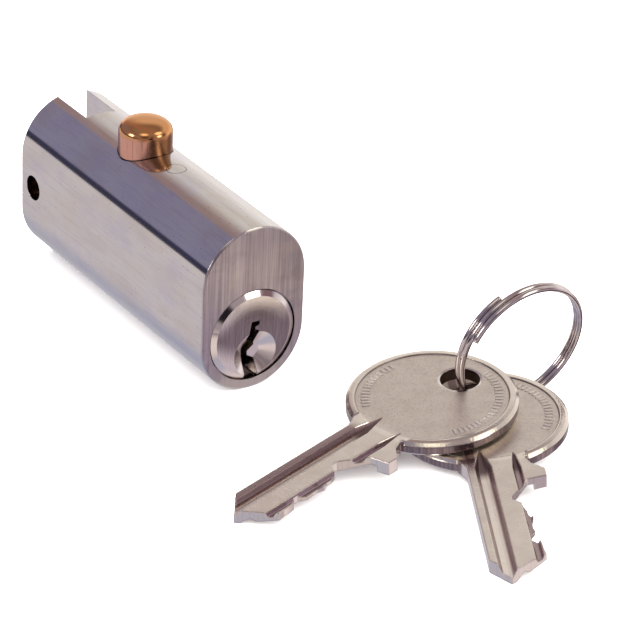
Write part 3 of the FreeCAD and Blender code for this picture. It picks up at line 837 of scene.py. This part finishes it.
    def zones(self, s: Surface, upright: Vector) -> KeyZones:
        """Find the key's parts.

        Args:
            s: Surface that is being built.
            upright: Which way the key's upper face looks.

        Returns:
            The patterns and masks.
        """
        place = s.add("Mapping", {"Vector": s.place, "Location": self.key.place,
                                  "Rotation": tuple(self.key.turn())}, vector_type="TEXTURE")
        along, side, up = s.add("SeparateXYZ", (place,)).node.outputs
        lift = s.add("VectorMath", (s.facing, upright), "Value", operation="DOT_PRODUCT")
        radius = s.distance(along, side)
        eye = s.distance(along, side, self.hole)
        blade = s.fade(along, self.blade)
        bow = s.outside(blade)
        sideways = s.add("Math", (side,), operation="ABSOLUTE")
        neck = s.all_of(s.fade(along, self.neck_start), s.fade(sideways, self.neck_side))
        grooved = s.all_of(s.fade(up, self.groove), s.fade(lift, self.rising),
                           s.either(blade, neck))
        sloped = s.all_of(grooved, s.fade(lift, self.slope))
        tooth = s.add("Math", (along, self.tooth_pitch / 2), operation="PINGPONG")
        step = s.total(-self.tooth_foot, (up, 1.0), (tooth, -self.tooth_slope))
        stepped = s.all_of(sloped, s.fade(step, self.tooth_edge),
                           s.band(side, self.stepped_side, self.stepped_edge))
        return KeyZones(
            side=side, up=up, radius=radius, eye=eye,
            cloud=s.scatter(self.cloud, place), peel=s.scatter(self.peel, place),
            milled=s.scatter(self.milled, place), drawn=s.scatter(self.drawn, place),
            nicked=s.scatter(self.nicked, place),
            blade=blade, bow=bow, flat=s.all_of(blade, s.fade(lift, self.land)),
            rimmed=s.all_of(bow, s.outside(neck)),
            struck=s.all_of(s.fade(radius, self.struck_field), s.fade(along, self.field_end)),
            wall=s.fade(s.add("Math", (lift,), operation="ABSOLUTE"), self.upright),
            grooved=grooved,
            sloped=s.all_of(sloped, s.outside(stepped)), stepped=stepped,
            neck_groove_shade=s.all_of(grooved, s.fade(along, self.neck_groove_shade)),
            land_shade=s.all_of(*(s.fade(side, limits) for limits in self.land_shade_side),
                           s.fade(lift, self.land_shade_rise), s.fade(along, self.key.land_shade)),
            eyelet_highlight=s.all_of(s.fade(eye, self.eyelet_edge), s.fade(lift, self.eyelet_rise)))

    def blanked(self, s: Surface, zones: KeyZones) -> Socket:
        """Colour the struck, tumbled and milled blank, with painted shade on the bow's flanks and
        in its hole.

        Args:
            s: Surface that is being built.
            zones: The key's parts.

        Returns:
            The blank's colour.
        """
        colour = s.tinted(linear(self.colour), self.tarnish, zones.cloud)
        colour = s.tinted(colour, self.sandy, zones.peel, zones.struck)
        colour = s.tinted(colour, self.mill_line, zones.milled, zones.blade)
        colour = s.lay(colour, linear(self.cut), s.all_of(zones.wall, zones.blade))
        colour = s.tinted(colour, self.cut_nick, zones.nicked, zones.wall, zones.blade)
        # Painted shade on the bow's flanks.
        shaded_flank = s.tinted(linear(self.shaded_flank), self.nicked_flank, zones.nicked)
        colour = s.lay(colour, shaded_flank, s.all_of(zones.wall, zones.bow, self.shaded_flank_share))
        # Painted shade on the hole's wall.
        return s.tinted(colour, self.hole_wall_shade, zones.eye, zones.wall)

    def grooved(self, s: Surface, zones: KeyZones, colour: Socket) -> Socket:
        """Colour the grooves, with painted light on their floor and painted shade on their walls,
        at the neck and on a strip of the back land.

        Args:
            s: Surface that is being built.
            zones: The key's parts.
            colour: The blank's colour.

        Returns:
            The colour with the grooves.
        """
        # Painted light on the groove floor, and painted shade on the leaf, slope and back wall.
        colour = s.tinted(colour, self.floor, zones.side, zones.grooved)
        colour = s.tinted(colour, self.cut_side_shade, zones.side, zones.grooved)
        streaked = s.total(1 - self.streak_share,
                           (s.fade(zones.drawn, self.streak), self.streak_share))
        colour = s.lay(colour, linear(self.back_slope_shade), s.all_of(zones.sloped, streaked))
        colour = s.tinted(colour, self.back_wall_shade, zones.side, zones.sloped, streaked)
        back = s.all_of(zones.sloped, s.fade(zones.side, self.back_wall_shade.fade))
        colour = s.tinted(colour, self.dark_line, zones.up, back)
        colour = s.tinted(colour, self.copper_line, zones.up, back)
        # Painted shade on a strip of the back land and in the grooves near the bow.
        colour = s.lay(colour, linear(self.land_shade_colour),
                       s.all_of(zones.land_shade, self.land_shade_share))
        return s.lay(colour, linear(self.neck_groove_shade_colour),
                     s.all_of(zones.neck_groove_shade, self.neck_groove_shade_share))

    def relief(self, s: Surface, zones: KeyZones) -> Socket:
        """Raise the rim's bead, the hole's round, and the peel, nicks and milling lines.

        Args:
            s: Surface that is being built.
            zones: The key's parts.

        Returns:
            The key's normal.
        """
        rim = s.fade(zones.radius, self.rim)
        bead = s.total(1 - self.bead_share, (s.fade(zones.radius, self.bead), self.bead_share))
        hollow = s.lay(1.0, s.fade(zones.eye, self.hole_round), zones.bow, Layer.NUMBER)
        mill = s.lay(zones.milled, zones.drawn, zones.sloped, Layer.NUMBER)
        normal = s.rounded(self.edge)
        for height, depth in ((s.all_of(bead, rim, zones.rimmed), self.bead_depth),
                              (hollow, self.hole_depth),
                              (s.all_of(zones.peel, zones.struck), self.peel_depth),
                              (s.all_of(zones.nicked, rim, zones.rimmed), self.nick_depth),
                              (s.all_of(mill, zones.blade), self.mill_depth)):
            normal = s.raised(height, depth, normal)
        return normal


@dataclass(frozen=True)
class DrawnSpringRing:
    """Nickel plated spring steel wire of the split ring."""

    name: str = "drawn_spring_ring"
    # Drawn wire is as bright as a mirror, and handling has clouded it a little.
    colour: str = "#E4DCDA"
    shade: str = "#B6A8AA"
    shaded: Fade = (0.35, 0.75)
    shade_share: float = 0.6
    roughness: float = 0.05
    cloud: Grain = Grain((2.4, 2.4, 2.4))
    cloud_dulling: float = 0.05
    dent: Grain = Grain((0.3, 0.3, 0.3))
    dent_depth: float = 0.001

    def build(self) -> bpy.types.Material:
        """Make the material.

        Returns:
            The material.
        """
        s = Surface(self.name)
        cloud = s.scatter(self.cloud)
        colour = s.tinted(linear(self.colour), Tint(self.shade, self.shaded, self.shade_share),
                          cloud)
        return s.close_metal(colour, s.total(self.roughness, (cloud, self.cloud_dulling)),
                             s.raised(s.scatter(self.dent), self.dent_depth))


@dataclass(frozen=True)
class PlainMetal:
    """A plain turned, ground or drawn metal for the working parts inside."""

    name: str
    colour: str
    shade: str
    roughness: float
    tool_line: Grain
    tool_depth: float = 0.002
    cloud: Grain = Grain((1.5, 1.5, 1.5), 3.0)
    cloud_share: float = 0.6
    cloud_dulling: float = 0.08
    edge: float = 0.06

    def build(self) -> bpy.types.Material:
        """Make the material.

        Returns:
            The material.
        """
        s = Surface(self.name)
        cloud = s.scatter(self.cloud)
        colour = s.lay(linear(self.colour), linear(self.shade),
                       s.all_of(cloud, self.cloud_share))
        return s.close_metal(colour, s.total(self.roughness, (cloud, self.cloud_dulling)),
                             s.raised(s.scatter(self.tool_line), self.tool_depth,
                                      s.rounded(self.edge)))


# Pieces


@dataclass
class LockParts:
    """The lock's own solids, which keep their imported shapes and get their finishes."""

    nodes: dict[str, bpy.types.Object]
    # Hardened steel is ground bright, a shade bluer than nickel.
    hardened: PlainMetal = PlainMetal("ground_hardened_steel", "#C4C1BF", "#A7A3A2", 0.2,
                                      Grain((0.2, 0.2, 14.0)))
    # Free-cutting brass comes off the lathe yellow, with fine rings.
    brass: PlainMetal = PlainMetal("turned_pin_brass", "#DDBE77", "#C7A25E", 0.22,
                                   Grain((20.0, 20.0, 0.12)))

    def build(self) -> list[bpy.types.Object]:
        """Give every solid of the lock its metal.

        Returns:
            The solids.
        """
        bar = NickelPlatedBar().build()
        finishes = {"housing": bar, "chamber_caps": bar, "plug": TurnedNickelPlug().build(),
                    "keeper_pin": bar, "crank_pin": self.hardened.build()}
        brass = self.brass.build()
        for number in PIN_NUMBERS:
            finishes[f"key_pin_{number}"] = brass
            finishes[f"driver_pin_{number}"] = brass
        for name, material in finishes.items():
            wear(self.nodes[name], material)
        return [self.nodes[name] for name in finishes]


@dataclass
class SpringBolt:
    """The bolt, turned with its window and spring hole, and with its nose burnished to a dome."""

    nodes: dict[str, bpy.types.Object]
    # The nose starts at the top of the straight wall and is a superellipse of this power.
    wall_top: float = 19.75 * MM
    wall_rise: float = 0.25 * MM
    height: float = 22.2 * MM
    radius: float = 4.15 * MM
    place: float = 31.0 * MM
    power: float = 2.45
    # Edges that turn by less than this, in degrees, are shaded smooth.
    crease: float = 30.0
    same_point: float = 0.0005 * MM
    same_height: float = 0.01 * MM

    def build(self) -> list[bpy.types.Object]:
        """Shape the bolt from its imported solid, with the nose drawn up to its full dome.

        Returns:
            The bolt.
        """
        shape = bmesh.new()
        shape.from_mesh(self.nodes["bolt"].data)
        bmesh.ops.remove_doubles(shape, verts=shape.verts, dist=self.same_point)
        start = self.wall_top + self.wall_rise
        for vertex in shape.verts:
            if vertex.co.z > self.wall_top - self.same_height:
                share = min(math.hypot(vertex.co.x, vertex.co.y - self.place) / self.radius, 1.0)
                dome = (1.0 - share ** self.power) ** (1.0 / self.power)
                vertex.co.z = start + (self.height - start) * dome
        for edge in shape.edges:
            edge.smooth = edge.calc_face_angle(0.0) < math.radians(self.crease)
        for face in shape.faces:
            face.smooth = True
        piece = new_object("turned_bolt", shape)
        wear(piece, PolishedGildingBrass().build())
        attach(piece, "bolt")
        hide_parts("bolt")
        return [piece]


@dataclass
class Key:
    """One key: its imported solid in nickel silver, with reeding coined round both bow faces."""

    key: KeyCopy
    nodes: dict[str, bpy.types.Object]
    thickness: float = 2.1 * MM
    sunk: float = 0.12 * MM
    reed_radius: float = 9.75 * MM
    reed_length: float = 1.3 * MM
    reed_width: float = 0.44 * MM
    reed_height: float = 0.1 * MM
    reed_slope: float = 0.11 * MM
    reed_step: float = 4.7
    # Angles from the blade between which the reeding runs
    reed_arcs: tuple[tuple[float, float], ...] = ((-100.0, -36.0), (62.0, 172.0))

    def build(self) -> list[bpy.types.Object]:
        """Give the key its metal and its reeding.

        Returns:
            The key and its reeding.
        """
        blank = self.nodes[self.key.name]
        metal = StruckNickelSilver(self.key).build()
        wear(blank, metal)
        shape = bmesh.new()
        for low, out in ((-self.sunk, 1), (self.sunk - self.thickness, -1)):
            for start, stop in self.reed_arcs:
                for step in range(round((stop - start) / self.reed_step) + 1):
                    self.strike(shape, math.radians(start + step * self.reed_step), low, out)
        bmesh.ops.recalc_face_normals(shape, faces=shape.faces)
        shape.transform(Matrix.Translation(Vector(self.key.place) * MM)
                        @ self.key.turn().to_matrix().to_4x4())
        reeding = new_object(f"{self.key.name}_reeding", shape)
        wear(reeding, metal)
        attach(reeding, self.key.name)
        return [blank, reeding]

    def strike(self, shape: bmesh.types.BMesh, angle: float, low: float, out: int) -> None:
        """Raise one rib of the reeding, with sloped sides.

        Args:
            shape: Mesh that the rib goes into, in the key's own coordinates.
            angle: Where round the bow, in radians from the blade.
            low: Height of the struck field.
            out: 1 for the upper face and -1 for the lower.
        """
        along = Vector((math.cos(angle), math.sin(angle), 0))
        across = Vector((-math.sin(angle), math.cos(angle), 0))
        rings = []
        for level, inset in ((low, 0.0), (low + out * self.reed_height, self.reed_slope)):
            half_length = self.reed_length / 2 - inset
            half_width = self.reed_width / 2 - inset
            rings.append([shape.verts.new(along * (self.reed_radius + end * half_length)
                                          + across * side * half_width
                                          + Vector((0, 0, level)))
                          for end, side in ((-1, -1), (1, -1), (1, 1), (-1, 1))])
        base, crown = rings
        shape.faces.new(base)
        shape.faces.new(crown)
        for corner in range(4):
            other = (corner + 1) % 4
            shape.faces.new((base[corner], base[other], crown[other], crown[corner]))


@dataclass(frozen=True)
class WoundWire:
    """A round wire wound into a helix about the Z axis, in metres."""

    radius: float
    wire: float
    turns: float
    pitch: float
    # Rings of points in one turn, and sides of the wire
    steps: int
    sides: int

    def wind(self) -> bmesh.types.BMesh:
        """Wind the wire, half above the origin and half below.

        Returns:
            The wire, its faces in order of the rings and then of the sides, its two ends last.
        """
        shape = bmesh.new()
        count = round(self.steps * self.turns)
        rings = [self.ring(shape, step / count) for step in range(count + 1)]
        for before, after in zip(rings, rings[1:]):
            for side in range(self.sides):
                other = (side + 1) % self.sides
                shape.faces.new((before[side], before[other], after[other], after[side]))
        shape.faces.new(rings[0][::-1])
        shape.faces.new(rings[-1])
        bmesh.ops.recalc_face_normals(shape, faces=shape.faces)
        shape.faces.index_update()
        for face in shape.faces:
            face.smooth = len(face.verts) == 4
        return shape

    def ring(self, shape: bmesh.types.BMesh, share: float) -> list[bmesh.types.BMVert]:
        """Lay one ring of points round the wire.

        Args:
            shape: Mesh that the points go into.
            share: How far along the wire, from zero to one.

        Returns:
            The points.
        """
        angle = 2 * math.pi * self.turns * share
        outward = Vector((math.cos(angle), math.sin(angle), 0))
        upward = Vector((0, 0, 1))
        centre = outward * self.radius + upward * self.pitch * self.turns * (share - 0.5)
        around = [2 * math.pi * side / self.sides for side in range(self.sides)]
        return [shape.verts.new(centre + (outward * math.cos(turn) + upward * math.sin(turn))
                                * self.wire) for turn in around]


@dataclass(frozen=True)
class CoilSpring:
    """A compression spring that stands upright."""

    name: str
    joint: str
    radius: float
    wire: float
    stroke: float
    foot_moves: bool
    turns: float = 7.0
    steps: int = 20
    sides: int = 6
    # Share of its length by which it closes further than its stroke, to stay clear
    slack: float = 0.01

    def build(self, metal: bpy.types.Material) -> bpy.types.Object:
        """Wind the spring in place of its packed sleeve.

        Args:
            metal: The spring wire's material.

        Returns:
            The spring.
        """
        low, high = (Vector(corner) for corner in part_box(self.name))
        middle = (low + high) / 2
        length = high.z - low.z
        pitch = (length - 2 * self.wire) / self.turns
        shape = WoundWire(self.radius, self.wire, self.turns, pitch, self.steps,
                          self.sides).wind()
        shape.transform(Matrix.Translation(middle))
        piece = new_object(f"wound_{self.name}", shape)
        wear(piece, metal)
        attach(piece, "lock_body")
        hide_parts(self.name)
        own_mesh(piece)
        return piece


@dataclass
class LockSprings:
    """The lock's hidden springs: one under the bolt and one over each driver pin."""

    # Music wire is drawn smooth and dark.
    metal: PlainMetal = PlainMetal("drawn_spring_wire", "#A9A6A4", "#85817F", 0.25,
                                   Grain((0.1, 0.1, 0.1)))

    def build(self) -> list[bpy.types.Object]:
        """Wind the springs.

        Returns:
            The springs.
        """
        metal = self.metal.build()
        springs = [CoilSpring("bolt_spring", "bolt_slide", 1.8 * MM, 0.25 * MM, 5.0 * MM,
                              foot_moves=False)]
        springs += [CoilSpring(f"driver_spring_{number}", f"driver_pin_{number}_lift",
                               1.0 * MM, 0.18 * MM, 2.8 * MM, foot_moves=True)
                    for number in PIN_NUMBERS]
        return [spring.build(metal) for spring in springs]


@dataclass
class SplitRing:
    """Two-turn split ring, its turns pressed together as the sprung wire holds them."""

    middle: tuple[float, float, float] = (30.39 * MM, -24.75 * MM, 1.91 * MM)
    # Where its axis points and where its wire starts round it, in degrees
    heading: float = -89.6
    lean: float = -9.1
    spin: float = 117.0
    wire: WoundWire = WoundWire(radius=10.38 * MM, wire=0.44 * MM, turns=2.11,
                                pitch=0.96 * MM, steps=150, sides=14)
    # Sides of the wire that touch the next turn. The lines there are painted dark, a painted shade
    # in the crevice between the turns.
    touching: tuple[int, ...] = (3, 10)
    crevice_shade: DrawnSpringRing = DrawnSpringRing("ring_crevice_shade", "#6A5A5E", "#4A3E42")

    def build(self) -> list[bpy.types.Object]:
        """Wind the ring and lay it in the keys' holes.

        Returns:
            The ring.
        """
        heading, lean, spin = (math.radians(angle)
                               for angle in (self.heading, self.lean, self.spin))
        axis = Vector((math.cos(heading) * math.cos(lean), math.sin(heading) * math.cos(lean),
                       math.sin(lean)))
        turn = Vector((0, 0, 1)).rotation_difference(axis).to_matrix()
        turn = turn @ Matrix.Rotation(spin, 3, "Z")
        shape = self.wire.wind()
        for face in shape.faces:
            face.material_index = int(face.index % self.wire.sides in self.touching)
        shape.transform(Matrix.Translation(self.middle) @ turn.to_4x4())
        piece = new_object("split_ring_wire", shape)
        wear(piece, DrawnSpringRing().build())
        # Painted shade in the crevice between the turns.
        piece.data.materials.append(self.crevice_shade.build())
        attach(piece, "split_ring")
        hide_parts("split_ring")
        return [piece]


# Studio


class Side(Enum):
    """The two halves of the room behind the lock, as its polished ridge mirrors them."""

    LEFT = "left"
    RIGHT = "right"


@dataclass(frozen=True)
class StudioPatch:
    """A soft light or dark area of the room that the polished metal mirrors."""

    name: str
    towards: tuple[float, float, float]
    # In degrees
    half_angle: float
    softness: float
    colour: str
    strength: float = 1.0


@dataclass
class Studio:
    """The pale floor, the soft light and the room that the metal mirrors."""

    # Height as the sine of the elevation, then the colour and strength there
    walls: dict[Side, tuple[tuple[float, str, float], ...]] = field(default_factory=lambda: {
        Side.LEFT: ((-1.0, "#BEBED0", 0.85), (-0.66, "#C4C4D6", 0.9), (-0.5, "#DCD4D8", 1.0),
                    (-0.03, "#E2DADA", 1.0), (-0.012, "#3C3B52", 1.0), (0.10, "#3C3B52", 1.0),
                    (0.13, "#928EA8", 1.0), (0.66, "#928CA4", 1.0), (0.80, "#8C8690", 1.0),
                    (1.0, "#A09A9E", 1.0)),
        Side.RIGHT: ((-1.0, "#C8C6D2", 0.9), (-0.6, "#CCCAD6", 0.9), (-0.35, "#EDE6E4", 1.0),
                     (-0.1, "#FBF5F0", 1.1), (0.05, "#FBF5F2", 1.12),
                     (0.30, "#F6EFEA", 0.98), (0.46, "#E2DAD3", 0.98), (0.54, "#EAE4E0", 1.0),
                     (0.62, "#EAE4E0", 1.0), (0.80, "#8C8284", 1.0), (1.0, "#A09A9E", 1.0)),
    })
    corner: Fade = (-0.03, 0.03)
    # A brown curtain hangs between the walls, and fades into the pale one on the right.
    curtain: str = "#A8908E"
    curtain_sides: tuple[Fade, Fade] = ((0.44, 0.04), (-0.05, -0.01))
    curtain_foot: Fade = (0.1, 0.35)
    patches: tuple[StudioPatch, ...] = (
        StudioPatch("dim room in front", (0.0, -1.0, 0.25), 60, 16, "#A2969A"),
        StudioPatch("cloth in front", (0.4986, -0.7227, -0.4787), 30, 18, "#BEB2BE"),
        StudioPatch("cloth at the left", (-0.318, -0.819, -0.479), 14, 8, "#E0D4CC"),
        StudioPatch("white table", (-0.48, -0.73, -0.50), 10, 5, "#E8DADA"),
        StudioPatch("cloth below", (0.55, -0.10, -0.83), 28, 12, "#DCD0CE"),
        StudioPatch("grey cloth at the right", (0.92, -0.06, -0.38), 14, 6, "#A0949A"),
        StudioPatch("pale cloth at the right", (0.76, -0.45, -0.48), 12, 6, "#F4E8E8"),
        StudioPatch("dark shelf", (0.0, 1.0, -0.03), 8, 3, "#6E5862"),
        StudioPatch("camera", (-0.4986, -0.7227, 0.4787), 14, 8, "#6C6066"),
        StudioPatch("black flag", (-0.15, -0.98, 0.115), 10, 3, "#1C181C"),
        StudioPatch("front window", (0.46, -0.82, 0.345), 9, 2, "#FFFDF6", 4.0),
        StudioPatch("brown door", (-0.04, -0.88, 0.47), 6, 3, "#5A463E"),
        StudioPatch("mauve cloth", (0.76, -0.61, 0.27), 10, 3, "#7C6268"),
        StudioPatch("dark post", (0.79, 0.565, -0.25), 8, 3, "#5A4E54"),
        StudioPatch("top lamp", (-0.35, -0.40, 0.85), 11, 5, "#FFF8E6", 1.5),
        StudioPatch("left lamp", (-0.909, 0.109, 0.402), 9, 2, "#FFFDF0", 8.0),
        StudioPatch("right lamp", (0.46, -0.50, 0.73), 12, 3, "#FFFAEC", 2.0),
    )
    backdrop: str = "#FFFFFF"
    # White card is matt and has no gloss at all.
    floor: str = "#F7F6F6"
    floor_roughness: float = 0.9
    floor_height: float = -8.9 * MM
    floor_reach: float = 12.0
    # The soft light's energy, and its angles in degrees
    lamp_energy: float = 9.0
    lamp_spread: float = 150.0
    lamp_tilt: tuple[float, float] = (8.0, 6.0)

    def build(self) -> None:
        """Build the room, the floor and the light."""
        self.build_world()
        self.build_floor()
        self.build_light()
        LOG.info("studio: %d patches", len(self.patches))

    def build_world(self) -> None:
        """Paint the room on the world."""
        world = bpy.data.worlds.new("studio")
        bpy.context.scene.world = world
        world.use_nodes = True
        s = Shading(world.node_tree)
        s.tree.nodes.clear()
        towards = s.add("TexCoord", out="Generated")
        right, _, up = s.add("SeparateXYZ", (towards,)).node.outputs
        height = s.total(0.5, (up, 0.5))
        colour = s.lay(self.wall(s, Side.LEFT, height), self.wall(s, Side.RIGHT, height),
                       s.fade(right, self.corner))
        fold = s.all_of(*(s.fade(right, limits) for limits in self.curtain_sides),
                        s.fade(up, self.curtain_foot))
        colour = s.lay(colour, linear(self.curtain), fold)
        for patch in self.patches:
            colour = self.hang(s, patch, towards, colour)
        colour = s.lay(colour, linear(self.backdrop), s.add("LightPath", out="Is Camera Ray"))
        s.add("OutputWorld", {"Surface": s.add("Background", {"Color": colour})})

    def wall(self, s: Shading, side: Side, height: Socket) -> Socket:
        """One half of the room as a ramp from straight down to straight up.

        Args:
            s: The world's node tree.
            side: Which half.
            height: Height from zero, straight down, to one, straight up.

        Returns:
            The colour of the half.
        """
        ramp = s.add("ValToRGB", (height,)).node
        elements = ramp.color_ramp.elements
        stops = self.walls[side]
        while len(elements) < len(stops):
            elements.new(0.5)
        for element, (level, colour, strength) in zip(elements, stops):
            element.position = level * 0.5 + 0.5
            element.color = linear(colour, strength)
        return ramp.outputs[0]

    def hang(self, s: Shading, patch: StudioPatch, towards: Socket, colour: Socket) -> Socket:
        """Hang a patch in the room.

        Args:
            s: The world's node tree.
            patch: The patch.
            towards: Direction looked in.
            colour: The room so far.

        Returns:
            The room with the patch.
        """
        closeness = s.add("VectorMath", (towards, Vector(patch.towards).normalized()), "Value",
                          operation="DOT_PRODUCT", label=patch.name)
        edge = (math.cos(math.radians(patch.half_angle + patch.softness)),
                math.cos(math.radians(patch.half_angle - patch.softness)))
        return s.lay(colour, linear(patch.colour, patch.strength), s.fade(closeness, edge))

    def build_floor(self) -> None:
        """Lay the pale floor, which the metal does not mirror."""
        shape = bmesh.new()
        shape.faces.new([shape.verts.new((right * self.floor_reach, back * self.floor_reach,
                                          self.floor_height))
                         for right, back in ((-1, -1), (1, -1), (1, 1), (-1, 1))])
        floor = new_object("floor", shape)
        wear(floor, Surface("white_card").close({"Base Color": linear(self.floor),
                                                 "Roughness": self.floor_roughness,
                                                 "Specular IOR Level": 0.0}))
        floor.visible_glossy = False

    def build_light(self) -> None:
        """Hang one very wide soft light over the floor."""
        lamp = bpy.data.lights.new("soft_top", "SUN")
        lamp.energy = self.lamp_energy
        lamp.angle = math.radians(self.lamp_spread)
        hung = bpy.data.objects.new("soft_top", lamp)
        hung.visible_glossy = False
        hung.rotation_euler = Euler((*(math.radians(tilt) for tilt in self.lamp_tilt), 0))
        bpy.context.scene.collection.objects.link(hung)


@dataclass(frozen=True)
class PhotoCamera:
    """The camera that took the photograph, as fitted to the lock's edges."""

    azimuth: float = -34.604
    elevation: float = 28.604
    roll: float = 2.526
    distance: float = 527.288 * MM
    focal_px: float = 3588.923
    origin_px: tuple[float, float] = (252.561, 334.625)
    frame_px: float = 618.0
    # In millimetres, as a camera's lens is
    sensor_width: float = 36.0
    clip: tuple[float, float] = (0.01, 100.0)

    def build(self) -> None:
        """Place the camera and make it the scene's own."""
        turn, lift, roll = (math.radians(angle)
                            for angle in (self.azimuth, self.elevation, self.roll))
        back = Vector((math.sin(turn) * math.cos(lift), -math.cos(turn) * math.cos(lift),
                       math.sin(lift)))
        level = Vector((math.cos(turn), math.sin(turn), 0))
        upright = back.cross(level)
        right = math.cos(roll) * level + math.sin(roll) * upright
        up = -math.sin(roll) * level + math.cos(roll) * upright
        metres = self.distance / self.focal_px
        side, drop = ((pixel - self.frame_px / 2) * metres for pixel in self.origin_px)
        place = self.distance * back - side * right + drop * up
        data = bpy.data.cameras.new("photo_camera")
        data.sensor_width = self.sensor_width
        data.lens = self.focal_px / self.frame_px * self.sensor_width
        data.clip_start, data.clip_end = self.clip
        camera = bpy.data.objects.new("photo_camera", data)
        turned = Matrix((right, up, back)).transposed().to_4x4()
        camera.matrix_world = Matrix.Translation(place) @ turned
        bpy.context.scene.collection.objects.link(camera)
        bpy.context.scene.camera = camera


def main() -> None:
    """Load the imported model, build the studio, dress the model and report each piece."""
    logging.basicConfig(level=logging.INFO)
    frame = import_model()
    bpy.context.scene.view_settings.view_transform = "Standard"
    PhotoCamera().build()
    Studio().build()
    nodes = frame["nodes"]
    for part in (LockParts(nodes), LockSprings(), SpringBolt(nodes),
                 *(Key(key, nodes) for key in KEYS), SplitRing()):
        for piece in part.build():
            LOG.info("%s: %d faces in %s", piece.name, len(piece.data.polygons),
                     piece.material_slots[0].material.name)


if __name__ == "__main__":
    main()
